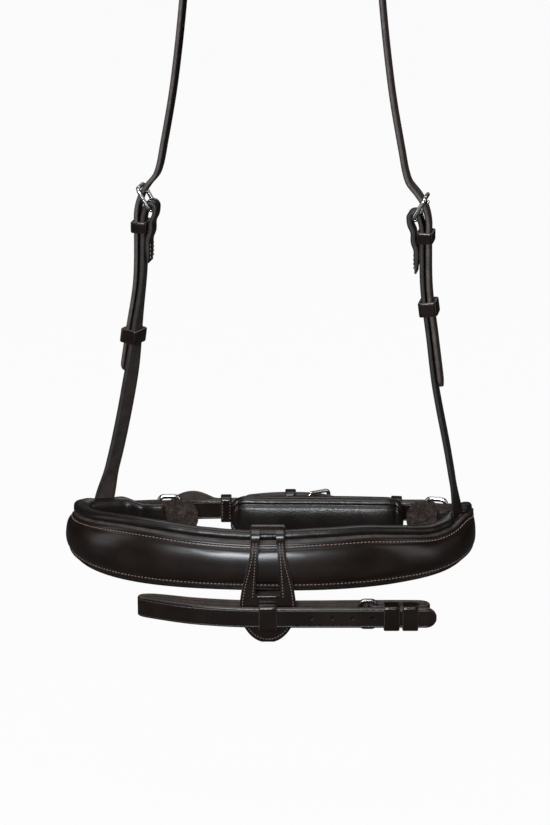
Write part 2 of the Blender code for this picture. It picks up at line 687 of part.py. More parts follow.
def billet_points():
    """Billet coming down inside the far bar, out over the heel bar and along the strap."""
    points = [(STACK_OUT * up, STACK_OUT * out) for up, out in BILLET_SHARES]
    points += [(-STACK_OUT * down, STACK_OUT + LAYER_STEP) for down in BILLET_LANDING_SHARES]
    return points + [(-BILLET_STRAIGHT, STACK_OUT + LAYER_STEP)]


def cheek_point(side, half_x, z):
    return np.array([side * half_x, 0.0, z - HANG_DROP])


def cheek_plane_points(side, pairs):
    """Turn heel-bar places, up and outward, into world points of a cheek buckle."""
    return [cheek_point(side, HEEL_X + out, HEEL_Z + up) for up, out in pairs]


def cheek_line():
    """Half coordinates and heights of the cheek straps' middle line above the nosepiece."""
    spread = LOOP_HALF_WIDTH - HEEL_X
    return [(HEEL_X + spread * out, HEEL_Z * up) for out, up in CHEEK_LINE_SHARES]


def cheek_turn(side, z):
    """How far a cheek strap has turned about its length at a height: the left one turns as it comes down."""
    down = smooth_share((HEEL_Z - TURN_START_DOWN - HANG_DROP - np.asarray(z, float)) / TURN_DROP)
    return LEFT_STRAP_TURN * down if side < 0 else 0 * down


def cheek_across(side, z):
    """Direction of a cheek strap's width at a height."""
    turn = cheek_turn(side, z)
    return np.stack([np.sin(turn), np.cos(turn), 0 * turn], axis=-1)


def cheek_layer(side, z):
    """Direction from a cheek strap to the layer that lies outside it."""
    turn = cheek_turn(side, z)
    return np.stack([side * np.cos(turn), np.sin(turn), 0 * turn], axis=-1)


def cheek_seat(side):
    """Foot and rim of a cheek strap's seat inside the nosepiece leather, with its directions."""
    spread = LEFT_CHEEK_SPREAD if side < 0 else RIGHT_CHEEK_SPREAD
    s = NOSE_CENTRE_S + side * spread
    bottom_z, top_z = nose_edges(side * spread)
    inset = NOSE_LEATHER + CHEEK_SEAT_SLACK + SKIVED_THICK / 2
    place, tangent, outward = loop_plan(s, inset)
    sense = 1 if tangent[1] > 0 else -1
    rim = to_world(place, top_z + SHOULDER_RISE + ROLL_RISE)
    bottom = turn_plan(tangent) * sense
    above = cheek_point(side, *cheek_line()[0])
    slant = np.dot(above - rim, bottom) / (above[2] - rim[2])
    depth_z = (top_z + bottom_z) / 2 - CHEEK_SEAT_DEPTH
    drop = top_z + SHOULDER_RISE + ROLL_RISE - depth_z
    foot, foot_tangent, foot_outward = loop_plan(s - sense * slant * drop, inset)
    low = to_world(foot, depth_z)
    return low, rim, above, bottom, turn_plan(unit(outward + foot_outward))


def build_cheek_strap(side, padding, material, parts, cutters):
    name = ("left" if side < 0 else "right") + "_cheek_strap"
    low, rim, above, bottom, outward = cheek_seat(side)
    points = [low, (low + rim) / 2, rim]
    points += [cheek_point(side, x, z) for x, z in cheek_line()]
    points += cheek_plane_points(side, fold_points(CHEEK_FOLD_LEAD, CHEEK_CHAPE_LENGTH))
    line = strap_line(points)
    rise = (line[:, 2] - rim[2] + ROLL_RISE) / (above[2] - rim[2]) / SEAT_TWIST_SHARE
    blend = smooth_share(rise)[:, None]
    across = unit((1 - blend) * bottom + blend * cheek_across(side, line[:, 2]))
    skived = smooth_share((line[:, 2] - rim[2]) / (above[2] - rim[2]) / SEAT_TWIST_SHARE)
    thick = SKIVED_THICK + (STRAP_THICK - SKIVED_THICK) * skived
    rings = ribbon_rings(line, across, STRAP_WIDTH / 2, thick / 2)
    strap = loft(name, rings, material, parts)
    build_cheek_pocket(name, low, rim, above, bottom, outward, padding, cutters)
    heel = cheek_point(side, HEEL_X, HEEL_Z)
    slot = box_cutter(name + "_slot", heel, ((1, 0, 0), (0, 1, 0), (0, 0, 1)),
                      (FOLD_RADIUS * 4, TONGUE_SLOT, FOLD_RADIUS * 3.2), cutters)
    cut(strap, slot)


def build_cheek_pocket(name, low, rim, above, bottom, outward, padding, cutters):
    """Room for a cheek strap's end between the nosepiece leather and the padding roll."""
    run = unit(rim - low)
    bottom = unit(bottom - run * np.dot(bottom, run))
    deep = POCKET_HALF_DEPTH
    wide = STRAP_WIDTH / 2 + 2 * PLAY
    leave = unit(above - rim)
    rings = []
    for place in (low - run * PLAY, rim - run * ROLL_RISE, rim + leave * ROLL_RISE * 2):
        rings.append([place + bottom * wide + outward * deep, place - bottom * wide + outward * deep,
                      place - bottom * wide - outward * deep, place + bottom * wide - outward * deep])
    pocket = loft(name + "_pocket", rings, padding.data.materials[0], cutters)
    pocket.display_type = "WIRE"
    pocket.hide_render = True
    cut(padding, pocket)


def build_head_strap(material, parts, cutters):
    """One strap over the poll, coming down to a punched billet on each side."""
    half = [(POLL_SEAT_LENGTH / 2 + GAP, STRAP_THICK / 2)]
    for crown, wider, down in CROWN_SHARES:
        x = CROWN_HALF_WIDTH * crown + (HEEL_X - CROWN_HALF_WIDTH) * wider
        half.append((x, (HEEL_Z - HANG_DROP) * down))
    side = [np.array([x, 0.0, z]) for x, z in half]
    side += cheek_plane_points(1, billet_points()[:-1])
    for x, z in cheek_line()[:0:-1]:
        side.append(cheek_point(1, x + LAYER_STEP, z))
    level = np.array([[0.0, 0.0, STRAP_THICK / 2], [POLL_SEAT_LENGTH / 2, 0.0, STRAP_THICK / 2]])
    right = np.concatenate([level, strap_line(side)])
    left = right[::-1] * np.array([-1, 1, 1])
    left = left + LAYER_STEP * (cheek_layer(-1, left[:, 2]) - np.array([-1, 0, 0]))
    line = np.concatenate([left[:-1], right])
    along = arc_lengths(line)
    half_width = rounded_tip(along, STRAP_WIDTH / 2, STRAP_WIDTH / 2)
    half_width = np.minimum(half_width, half_width[::-1])
    turned = cheek_across(-1, line[:, 2])
    straight = cheek_across(1, line[:, 2])
    across = np.where(line[:, :1] < 0, turned, straight)
    strap = loft("head_strap", ribbon_rings(line, across, half_width, STRAP_THICK / 2), material, parts)
    tangent = unit(np.gradient(line, axis=0))
    cross = tongue_crossing()
    for sign in (-1, 1):
        place = cheek_point(sign, HEEL_X + cross[1], HEEL_Z + cross[0])
        nearest = nearest_along(line, along, place)
        for i in range(-2, HOLE_COUNT - 2):
            at = nearest - sign * i * HOLE_PITCH
            spot = np.array([np.interp(at, along, line[:, k]) for k in range(3)])
            direction = unit(np.array([np.interp(at, along, tangent[:, k]) for k in range(3)]))
            normal = unit(np.cross(direction, cheek_across(sign, spot[2])))
            tool_name = f"billet_hole_{'left' if sign < 0 else 'right'}_{i + 2}"
            if i == 0:
                tool = box_cutter(tool_name, spot, (direction, (0, 1, 0), normal),
                                  (TONGUE_WIRE * 3.6, TONGUE_SLOT, STRAP_THICK * 3), cutters)
            else:
                tool = hole_cutter(tool_name, spot, normal, HOLE_DIAMETER, STRAP_THICK * 3, cutters)
            cut(strap, tool)


def tongue_line(reach):
    """Tongue from its eye round the heel bar to its tip on the far bar, up and outward."""
    eye = BUCKLE_WIRE / 2 + GAP + TONGUE_WIRE / 2
    slope = BUCKLE_SLOPE
    along = np.array([math.sin(slope), math.cos(slope)])
    normal = np.array([-math.cos(slope), math.sin(slope)])
    points = []
    for angle in np.linspace(math.radians(-190), math.radians(60), 9):
        points.append(along * eye * math.sin(angle) + normal * eye * math.cos(angle))
    lift = BUCKLE_WIRE / 2 + GAP + TONGUE_WIRE / 2
    points.append(along * reach * 0.5 + normal * lift)
    points.append(along * (reach + BUCKLE_WIRE * 0.4) + normal * lift)
    return points


def tongue_crossing():
    """Place where the tongue goes through the billet, up and outward from the heel bar."""
    return STACK_OUT * TONGUE_CROSSING_SHARES[0], STACK_OUT * TONGUE_CROSSING_SHARES[1]


def build_buckle(prefix, heel, up, outward, across, slope, reach, material, parts):
    """Buckle frame on its heel bar and the tongue that lies on its far bar, both on one pivot."""
    heel, up, outward, across = (np.asarray(v, float) for v in (heel, up, outward, across))
    along = up * math.sin(slope) + outward * math.cos(slope)
    outline = rounded_outline(reach / 2, (BUCKLE_INNER_WIDTH + BUCKLE_WIRE) / 2, BUCKLE_WIRE, 3)
    points = [heel + along * (reach / 2 + x) + across * y for x, y in outline]
    frame_axis = pivot(prefix + "_buckle_pivot", heel, parts)
    wire(prefix + "_buckle_frame", points, BUCKLE_WIRE, True, material, parts, frame_axis)
    tongue = []
    normal = outward * math.sin(slope) - up * math.cos(slope)
    flat_along = np.array([math.sin(BUCKLE_SLOPE), math.cos(BUCKLE_SLOPE)])
    flat_normal = np.array([-math.cos(BUCKLE_SLOPE), math.sin(BUCKLE_SLOPE)])
    for point in tongue_line(reach):
        a = float(np.dot(point, flat_along))
        n = float(np.dot(point, flat_normal))
        tongue.append(heel + along * a + normal * n)
    wire(prefix + "_buckle_tongue", tongue, TONGUE_WIRE, False, material, parts, frame_axis)


def build_cheek_keepers(side, material, parts):
    prefix = "left" if side < 0 else "right"
    across = np.array([0.0, 1.0, 0.0])
    up = np.array([0.0, 0.0, 1.0])
    stack = STACK_OUT + LAYER_STEP / 2
    place = cheek_point(side, HEEL_X + stack, HEEL_Z - FIXED_KEEPER_DOWN)
    keeper(prefix + "_cheek_fixed_keeper", place, up, across, STRAP_WIDTH + PLAY, KEEPER_DEPTH, KEEPER_WIDTH,
           material, parts)
    z = HEEL_Z - (LEFT_RUNNING_KEEPER_DOWN if side < 0 else RIGHT_RUNNING_KEEPER_DOWN)
    low, high = cheek_line()[2:]
    share = (z - low[1]) / (high[1] - low[1])
    x = low[0] + (high[0] - low[0]) * share
    place = cheek_point(side, x, z) + cheek_layer(side, z - HANG_DROP) * LAYER_STEP / 2
    slope = unit(cheek_point(side, high[0], high[1]) - cheek_point(side, low[0], low[1]))
    across = cheek_across(side, z - HANG_DROP)
    axis = pivot(prefix + "_running_keeper_slide", place, parts)
    keeper(prefix + "_cheek_running_keeper", place, slope, across, STRAP_WIDTH + PLAY,
           KEEPER_DEPTH + 2 * PLAY, RUNNING_KEEPER_WIDTH, material, parts, axis)


def rear_s(u):
    """Arc length of a place behind the chin, u to the right of the loop's middle."""
    return LOOP_LENGTH / 2 - u


def rear_frame(u, inset, z=CRANK_Z):
    """World place behind the chin and its directions: to the right along the loop, and outward."""
    place, tangent, outward = loop_plan(rear_s(u), inset)
    return to_world(place, z), -turn_plan(tangent), turn_plan(outward)


def build_crank_strap(material, parts, cutters):
    """One strap through both rings: chape and buckle at one end, billet at the other."""
    heel_s = rear_s(CRANK_HEEL_U)
    heel_inset = -CRANK_HEEL_OUT
    radius = RING_WIRE / 2 + GAP + PLAY + STRAP_THICK / 2
    middle = (CRANK_INNER_INSET + CRANK_OUTER_INSET) / 2
    left_bar = ring_centre_s(-1) + LOOP_LENGTH - RING_LENGTH / 2
    right_bar = ring_centre_s(1) + RING_LENGTH / 2
    fold = fold_points(CRANK_FOLD_LEAD, CRANK_CHAPE_LENGTH)
    pairs = [(heel_s - up, heel_inset - out) for up, out in fold[::-1]]
    first, second, third = CRANK_LEAVE_SHARES
    from_left, inner_bar, from_right = CRANK_BAR_SHARES
    tail, tail_drop, tail_end = CRANK_TAIL_SHARES
    pairs += [(heel_s + STRAP_WIDTH * first[0], heel_inset - STACK_OUT + STRAP_THICK * first[1]),
              (heel_s + STRAP_WIDTH * second[0], CRANK_OUTER_INSET - STRAP_THICK * second[1]),
              (heel_s + STRAP_WIDTH * third[0], CRANK_OUTER_INSET - STRAP_THICK * third[1]),
              (left_bar - STRAP_WIDTH * from_left, CRANK_OUTER_INSET)]
    pairs += [(left_bar + radius * math.cos(a), middle + radius * math.sin(a))
              for a in np.linspace(-math.pi / 2, math.pi / 2, 7)]
    pairs += [(left_bar - STRAP_WIDTH * inner_bar, CRANK_INNER_INSET),
              (heel_s + STRAP_WIDTH * CRANK_MIDDLE_SHARE, CRANK_INNER_INSET),
              (heel_s - STRAP_WIDTH * CRANK_MIDDLE_SHARE, CRANK_INNER_INSET),
              (right_bar + STRAP_WIDTH * inner_bar, CRANK_INNER_INSET)]
    pairs += [(right_bar - radius * math.cos(a), middle + radius * math.sin(a))
              for a in np.linspace(math.pi / 2, -math.pi / 2, 7)]
    pairs += [(right_bar + STRAP_WIDTH * from_right, CRANK_OUTER_INSET),
              (heel_s - STRAP_WIDTH * CRANK_RETURN_SHARE, CRANK_OUTER_INSET)]
    pairs += [(heel_s - up, heel_inset - out) for up, out in billet_points()]
    pairs += [(heel_s + STRAP_WIDTH * tail, heel_inset - STACK_OUT - LAYER_STEP + STRAP_THICK * tail_drop),
              (heel_s + CRANK_TAIL_LENGTH, CRANK_OUTER_INSET - LAYER_STEP - STRAP_THICK * tail_end)]
    flat = strap_line(np.array(pairs))
    place, tangent, outward = loop_plan(flat[:, 0], flat[:, 1])
    outer = flat[:, 1] < middle
    reach = (left_bar - CRANK_RISE_AWAY - flat[:, 0]) / CRANK_RISE_LENGTH
    lift = CRANK_RISE * np.sin(math.pi * np.clip(reach, 0, 1)) ** 2 * outer
    line = to_world(place, CRANK_Z + lift)
    along = arc_lengths(line)
    half_width = rounded_tip(along, STRAP_WIDTH / 2, STRAP_WIDTH / 2)
    across = np.tile([0.0, 0.0, 1.0], (len(line), 1))
    strap = loft("crank_strap", ribbon_rings(line, across, half_width, STRAP_THICK / 2), material, parts)
    heel, right, out = rear_frame(CRANK_HEEL_U, heel_inset)
    cut(strap, box_cutter("crank_strap_slot", heel, (right, out, (0, 0, 1)),
                          (FOLD_RADIUS * 3.2, FOLD_RADIUS * 3.2, TONGUE_SLOT), cutters))
    up_share, out_share = tongue_crossing()
    spot = heel + right * up_share + out * out_share
    slant = unit(-right * 0.92 + out * 0.38)
    cut(strap, box_cutter("crank_tongue_hole", spot, (slant, np.cross((0, 0, 1), slant), (0, 0, 1)),
                          (TONGUE_WIRE * 3.6, STRAP_THICK * 2.2, TONGUE_SLOT), cutters))
    return heel, right, out


def build_crank_fittings(heel, right, out, leather, metal, parts):
    up = np.array([0.0, 0.0, 1.0])
    build_buckle("crank", heel, right, out, up, BUCKLE_SLOPE, BUCKLE_REACH, metal, parts)
    stack = CRANK_HEEL_OUT + STACK_OUT + LAYER_STEP / 2
    place, along, outward = rear_frame(CRANK_HEEL_U - FIXED_KEEPER_DOWN, -stack)
    keeper("crank_fixed_keeper", place, along, up, STRAP_WIDTH + PLAY, KEEPER_DEPTH, KEEPER_WIDTH,
           leather, parts)
    middle = (CRANK_INNER_INSET + CRANK_OUTER_INSET) / 2
    axis_place, along, outward = rear_frame(PAD_U, CRANK_INNER_INSET)
    axis = pivot("chin_pad_slide", axis_place, parts)
    for name, u in (("left_crank_keeper", PAD_U - PAD_LENGTH / 2 - PAD_LOOP_AWAY / 2),
                    ("right_crank_keeper", PAD_U + PAD_LENGTH / 2 - PAD_LOOP_AWAY)):
        place, along, outward = rear_frame(u, middle)
        keeper(name, place, along, up, STRAP_WIDTH + 2 * PLAY, KEEPER_DEPTH, KEEPER_WIDTH,
               leather, parts, axis)
    return axis


def crank_keeper_reach():
    """How far inside the loop's outer face the crank keepers reach."""
    middle = (CRANK_INNER_INSET + CRANK_OUTER_INSET) / 2
    return middle + KEEPER_DEPTH / 2 + KEEPER_WALL


def pad_half_height(share):
    """Half height of the chin pad's outline at a share of its half length, with round corners."""
    from_end = (1 - abs(share)) * PAD_LENGTH / 2
    corner = np.clip(1 - from_end / PAD_CORNER, 0, 1)
    return PAD_HEIGHT / 2 - PAD_CORNER * (1 - math.sqrt(max(1 - corner ** 2, 0.0))) * 0.8


def build_chin_pad(axis, material, leather, parts):
    """Padded cushion with a flat back, and the leather backing that its loops are sewn to."""
    back_inset = crank_keeper_reach() + GAP
    backing = []
    cushion = []
    for share in np.concatenate([[-1], np.linspace(-0.97, 0.97, 33), [1]]):
        u = PAD_U + share * PAD_LENGTH / 2
        half = pad_half_height(share)
        s = rear_s(u) + np.zeros(4)
        trim = half - BACKING_MARGIN
        z = np.array([-trim, trim, trim, -trim]) + PAD_Z
        out = -np.array([0, 0, BACKING_THICK, BACKING_THICK]) - back_inset
        backing.append(nose_section(s, out, z))
        fill = (1 - abs(share) ** 6) ** 0.5
        face = back_inset + BACKING_THICK + GAP
        angles = np.linspace(0, math.pi, 13)
        z = PAD_Z + half * np.sign(np.cos(angles)) * np.abs(np.cos(angles)) ** 0.62
        swell = (0.42 + 0.58 * np.sin(angles) ** 0.8) * (0.3 + 0.7 * fill) * PAD_CROWN
        swell[0] = swell[-1] = 0.18 * PAD_CROWN
        inset = face + swell
        z = np.concatenate([[PAD_Z - half * 0.96, PAD_Z + half * 0.96], z])
        inset = np.concatenate([[face, face], inset])
        cushion.append(nose_section(rear_s(u) + np.zeros(len(z)), -inset, z))
    loft("chin_pad_backing", backing, leather, parts, axis)
    loft("chin_pad", cushion, material, parts, axis)


def sling_profile():
    """Side profile of the flash sling: behind the padding, over the roll and down the front to the tab."""
    front = -LOOP_FRONT_DEPTH
    thick = SLING_THICK
    top = NOSE_HALF_HEIGHT + SHOULDER_RISE + ROLL_RISE + PLAY
    back = front + NOSE_LEATHER + PADDING_DEPTH
    clear = GAP + PLAY + thick / 2
    low = -NOSE_HALF_HEIGHT - ROLL_HANG - clear
    tab = front + TAB_FRONT_Y
    tab_back = tab + thick + GAP * 1.5
    near_low, mid_low, far_low = SLING_LOW_SHARES
    points = [(tab_back, BAND_END_Z), (tab_back, BAND_END_Z + thick * SLING_END_SHARE),
              (tab_back + thick * near_low[0], low - thick * near_low[1]),
              (front + thick * mid_low[0], low - thick * mid_low[1]),
              (back - thick * far_low[0], low - thick * far_low[1])]
    heights = (low, 0.0, top, top)
    senses = (1, 0, -1, -1)
    for (out, up), height, sense in zip(SLING_BACK_SHARES, heights, senses):
        points.append((back + clear * out, height + sense * thick * up))
    starts = ((back, -1, top + clear), (front, 1, top + clear), (front, 1, top), (front, 1, top))
    for (out, up), (start, sense, height) in zip(SLING_TOP_SHARES, starts):
        points.append((start + sense * thick * out, height + thick * up))
    points += [(front + thick * out, NOSE_HALF_HEIGHT * up) for out, up in SLING_FRONT_SHARES]
    points += [(tab, NOSE_HALF_HEIGHT * up) for up in SLING_TAB_SHARES]
    return points + [(tab, TAB_BOTTOM_Z)]


def build_flash_loop(material, parts, cutters):
    """Sling over the nosepiece, split into two legs in front, ending in a rounded tab."""
    centre, tangent, outward = loop_plan(FLASH_X)
    profile = strap_line(np.array(sling_profile()))
    round_z = TAB_BOTTOM_Z + TAB_ROUND * (1 - np.cos(np.linspace(0, math.pi / 2, TAB_STATIONS)))[::-1]
    kept = profile[: np.argmax(profile[:, 1])].tolist()
    kept += [p for p in profile[np.argmax(profile[:, 1]):].tolist() if p[1] > round_z[0] + PLAY]
    profile = np.array(kept + [(-LOOP_FRONT_DEPTH + TAB_FRONT_Y, z) for z in round_z])
    local = np.stack([np.full(len(profile), FLASH_X), profile[:, 0]], axis=1)
    line = to_world(local, profile[:, 1])
    z = profile[:, 1]
    drop = (LEG_SPREAD_TOP_Z - z) / (LEG_SPREAD_TOP_Z - LEG_SPREAD_LOW_Z)
    half_width = SLING_HALF_TOP + (TAB_HALF_WIDTH - SLING_HALF_TOP) * smooth_share(drop)
    along = arc_lengths(line)
    behind = np.arange(len(z)) < np.argmax(z) - 1
    half_width = np.where(behind, SLING_HALF_BACK, half_width)
    half_width = np.minimum(half_width, rounded_tip(along, TAB_HALF_WIDTH, TAB_ROUND))
    across = np.tile(turn_plan(np.array([1.0, 0.0])), (len(line), 1))
    pivot_place = to_world(np.array([FLASH_X, -LOOP_FRONT_DEPTH + FLASH_SWING_RADIUS]), 0.0)
    axis = pivot("flash_loop_slide", pivot_place, parts)
    rings = ribbon_rings(line, across, half_width, SLING_THICK / 2)
    sling = loft("flash_loop", rings, material, parts, axis)
    top = NOSE_HALF_HEIGHT + SHOULDER_RISE + ROLL_RISE * WINDOW_TOP_SHARE
    middle = to_world(np.array([FLASH_X, -LOOP_FRONT_DEPTH + TAB_FRONT_Y]), (top + SLOT_Z) / 2)
    axes = (turn_plan(np.array([1.0, 0.0])), turn_plan(np.array([0.0, 1.0])), (0, 0, 1))
    window = box_cutter("flash_window", middle, axes, (1, 2 * WINDOW_REACH, top - SLOT_Z), cutters)
    for vertex in window.data.vertices:
        vertex.co.x *= 2 * (WINDOW_HALF_TOP if vertex.co.z > 0 else WINDOW_HALF_BOTTOM)
    cut(sling, window)
    return axis


def flash_point(u, y, z=FLASH_Z):
    u, y = np.broadcast_arrays(u, y)
    return to_world(np.stack([FLASH_X + u, -LOOP_FRONT_DEPTH + y], axis=-1), z)


def build_flash_strap(leather, metal, parts, cutters, loop_axis):
    """Strap folded at both ends: buckle, rear run behind the tab, front run with its billet."""
    front = FLASH_STRAP_Y
    base = front + LAYER_STEP
    bar = base + FLASH_BAR_BACK
    rear = base + FLASH_REAR_BACK
    fold = FLASH_HEEL_U + FLASH_FOLD_AWAY
    points = [(FLASH_HEEL_U + STRAP_WIDTH * away, bar + STRAP_THICK * behind)
              for away, behind in FLASH_CHAPE_SHARES]
    points += [(FLASH_HEEL_U - FOLD_RADIUS * math.cos(a), bar + FOLD_RADIUS * math.sin(a))
               for a in np.linspace(math.pi / 2, -math.pi / 2, 7)]
    near = STRAP_THICK * FLASH_FOLD_SHARES[0]
    turn = STRAP_THICK * FLASH_FOLD_SHARES[1]
    points += [(FLASH_HEEL_U + FLASH_FOLD_REACH, base), (fold - FLASH_FOLD_REACH, base),
               (fold - near, base + turn), (fold, (base + rear) / 2), (fold - near, rear - turn),
               (fold - FLASH_FOLD_REACH, rear)]
    points += [(FLASH_HEEL_U * share, rear - STRAP_WIDTH * ahead)
               for share, ahead in FLASH_REAR_RIGHT_SHARES]
    points += [(-FLASH_LEFT_REACH * share, base + STRAP_WIDTH * back) for share, back in FLASH_REAR_SHARES]
    points += [(-FLASH_LEFT_REACH * share, front + STRAP_WIDTH * back) for share, back in FLASH_FRONT_SHARES]
    points += [(0.0, front), (FLASH_STRAIGHT_U, front), (FLASH_HEEL_U + FLASH_TIP_AWAY, front)]
    flat = strap_line(np.array(points))
    line = flash_point(flat[:, 0], flat[:, 1])
    along = arc_lengths(line)
    half_width = rounded_tip(along, STRAP_WIDTH / 2, STRAP_WIDTH / 2)
    across = np.tile([0.0, 0.0, 1.0], (len(line), 1))
    slide = pivot("flash_strap_slide", flash_point(0.0, front), parts)
    slide.parent = loop_axis
    slide.matrix_parent_inverse = loop_axis.matrix_world.inverted()
    bpy.context.view_layer.update()
    rings = ribbon_rings(line, across, half_width, STRAP_THICK / 2)
    strap = loft("flash_strap", rings, leather, parts, slide)
    outward = turn_plan(np.array([0.0, -1.0]))
    for i in range(FLASH_HOLE_COUNT):
        from_tip = FLASH_HOLE_FROM_TIP + i * FLASH_HOLE_PITCH
        spot = flash_point(FLASH_HEEL_U + FLASH_TIP_AWAY - from_tip, front)
        cut(strap, hole_cutter(f"flash_hole_{i}", spot, outward, FLASH_HOLE_DIAMETER, STRAP_THICK * 1.8,
                               cutters))
    up = np.array([0.0, 0.0, 1.0])
    right = turn_plan(np.array([1.0, 0.0]))
    middle = front + LAYER_STEP / 2
    keeper("flash_fixed_keeper", flash_point(FLASH_HEEL_U + FLASH_FIXED_KEEPER_AWAY, middle), right, up,
           STRAP_WIDTH + PLAY, KEEPER_DEPTH, FLASH_KEEPER_WIDTH, leather, parts, slide)
    running_place = flash_point(FLASH_HEEL_U + FLASH_RUNNING_KEEPER_AWAY, middle)
    running = pivot("flash_running_keeper_slide", running_place, parts)
    running.parent = slide
    running.matrix_parent_inverse = slide.matrix_world.inverted()
    bpy.context.view_layer.update()
    keeper("flash_running_keeper", running_place, right, up, STRAP_WIDTH + PLAY, KEEPER_DEPTH,
           FLASH_KEEPER_WIDTH, leather, parts, running)
    heel = flash_point(FLASH_HEEL_U, bar)
    cut(strap, box_cutter("flash_strap_slot", heel, (right, outward, up),
                          (FOLD_RADIUS * 3.2, FOLD_RADIUS * 3.2, TONGUE_SLOT), cutters))
    return heel, right, outward, up


def build_object():
    for thing in list(bpy.data.objects):
        bpy.data.objects.remove(thing, do_unlink=True)
    scene = bpy.context.scene
    parts = bpy.data.collections.new("crank_noseband")
    cutters = bpy.data.collections.new("cutters")
    scene.collection.children.link(parts)
    scene.collection.children.link(cutters)
    leather = make_material("bridle_leather", (0.018, 0.012, 0.010), 0.35)
    soft = make_material("soft_padding", (0.012, 0.009, 0.008), 0.6)
    suede = make_material("flesh_side_leather", (0.035, 0.022, 0.017), 0.9)
    metal = make_material("bright_steel", (0.75, 0.72, 0.68), 0.25, 1.0)
    dark_metal = make_material("dark_steel", (0.16, 0.15, 0.15), 0.35, 1.0)
    build_nosepiece_leather(leather, parts)
    padding = build_nosepiece_padding(soft, parts)
    for side in (-1, 1):
        build_guard(side, suede, parts)
        build_ring(side, metal, parts)
        build_ring_chape(side, leather, parts)
        build_cheek_strap(side, padding, leather, parts, cutters)
        prefix = "left_cheek" if side < 0 else "right_cheek"
        build_buckle(prefix, cheek_point(side, HEEL_X, HEEL_Z), (0, 0, 1), (side, 0, 0), (0, 1, 0),
                     BUCKLE_SLOPE, BUCKLE_REACH, metal, parts)
        build_cheek_keepers(side, leather, parts)
    build_head_strap(leather, parts, cutters)
    heel, right, out = build_crank_strap(leather, parts, cutters)
    pad_axis = build_crank_fittings(heel, right, out, leather, metal, parts)
    build_chin_pad(pad_axis, soft, leather, parts)
    loop_axis = build_flash_loop(leather, parts, cutters)
    heel, right, outward, up = build_flash_strap(leather, metal, parts, cutters, loop_axis)
    build_buckle("flash", heel, -right, outward, up, math.radians(90), FLASH_BUCKLE_REACH, dark_metal, parts)
    centre = flash_point(0.0, FLASH_STRAP_Y)
    keeper("flash_tab_keeper", centre, right, up, STRAP_WIDTH + PLAY, STRAP_THICK + PLAY, TAB_KEEPER_WIDTH,
           leather, parts, loop_axis)


build_object()
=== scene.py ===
# Crank noseband with a flash strap: padded nosepiece, cheek straps, a head strap over the poll,
# a doubled back strap with a padded chin piece, and a flash strap in its loop.
# Metres, +Z up, front of the nosepiece towards -Y. The origin is under the crown of the head strap.

import math

import bmesh
import bpy
import numpy as np
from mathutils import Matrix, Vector
from mathutils.bvhtree import BVHTree
from mathutils.interpolate import poly_3d_calc


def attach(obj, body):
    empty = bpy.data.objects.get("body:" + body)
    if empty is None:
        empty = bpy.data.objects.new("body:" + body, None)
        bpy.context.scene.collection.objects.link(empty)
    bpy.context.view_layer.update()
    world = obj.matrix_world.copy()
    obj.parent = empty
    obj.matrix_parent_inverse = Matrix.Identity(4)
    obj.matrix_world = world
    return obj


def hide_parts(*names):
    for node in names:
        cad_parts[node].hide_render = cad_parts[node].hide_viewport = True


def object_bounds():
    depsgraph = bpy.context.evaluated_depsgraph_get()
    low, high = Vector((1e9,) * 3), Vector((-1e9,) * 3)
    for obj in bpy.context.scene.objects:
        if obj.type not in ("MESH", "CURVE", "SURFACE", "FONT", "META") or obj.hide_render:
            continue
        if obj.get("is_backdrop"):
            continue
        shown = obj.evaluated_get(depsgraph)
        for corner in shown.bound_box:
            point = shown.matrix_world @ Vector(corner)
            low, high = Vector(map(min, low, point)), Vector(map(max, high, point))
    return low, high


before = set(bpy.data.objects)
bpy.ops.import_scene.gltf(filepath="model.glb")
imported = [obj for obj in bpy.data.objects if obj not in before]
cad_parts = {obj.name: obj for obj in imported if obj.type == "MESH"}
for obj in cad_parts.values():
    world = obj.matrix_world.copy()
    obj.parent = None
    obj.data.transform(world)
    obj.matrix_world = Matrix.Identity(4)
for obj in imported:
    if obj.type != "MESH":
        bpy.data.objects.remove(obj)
cad_low, cad_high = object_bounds()
scene = bpy.context.scene
scene.view_settings.view_transform = "Standard"

# Studio: a level white floor, a wide lamp in front and one above, and softer ones left, right and behind.
# The noseband hangs well above the floor, as it would on a hook, so its shadow is faint.
PHOTO_WIDTH = 550
PHOTO_HEIGHT = 825
CAMERA_FOCAL_PIXELS = 2533.0
SENSOR = 0.036
CAMERA_PLACE = (0.2609, -1.5049, 0.0621)
CAMERA_TILT = math.radians(73.5)
CAMERA_YAW = math.radians(10.0)
FLOOR_DROP = 0.12
FLOOR_SIZE = 9.0
KEY_POWER = 22.0
TOP_POWER = 6.0
SIDE_POWER = 3.0
BACK_POWER = 4.0
WORLD_STRENGTH = 0.03

camera_data = bpy.data.cameras.new("photo_camera")
camera_data.sensor_fit = "VERTICAL"
camera_data.sensor_height = SENSOR * 1000
camera_data.sensor_width = SENSOR * 1000 * PHOTO_WIDTH / PHOTO_HEIGHT
camera_data.lens = CAMERA_FOCAL_PIXELS / PHOTO_HEIGHT * SENSOR * 1000
camera = bpy.data.objects.new("photo_camera", camera_data)
camera.location = CAMERA_PLACE
camera.rotation_euler = (CAMERA_TILT, 0, CAMERA_YAW)
scene.collection.objects.link(camera)
scene.camera = camera


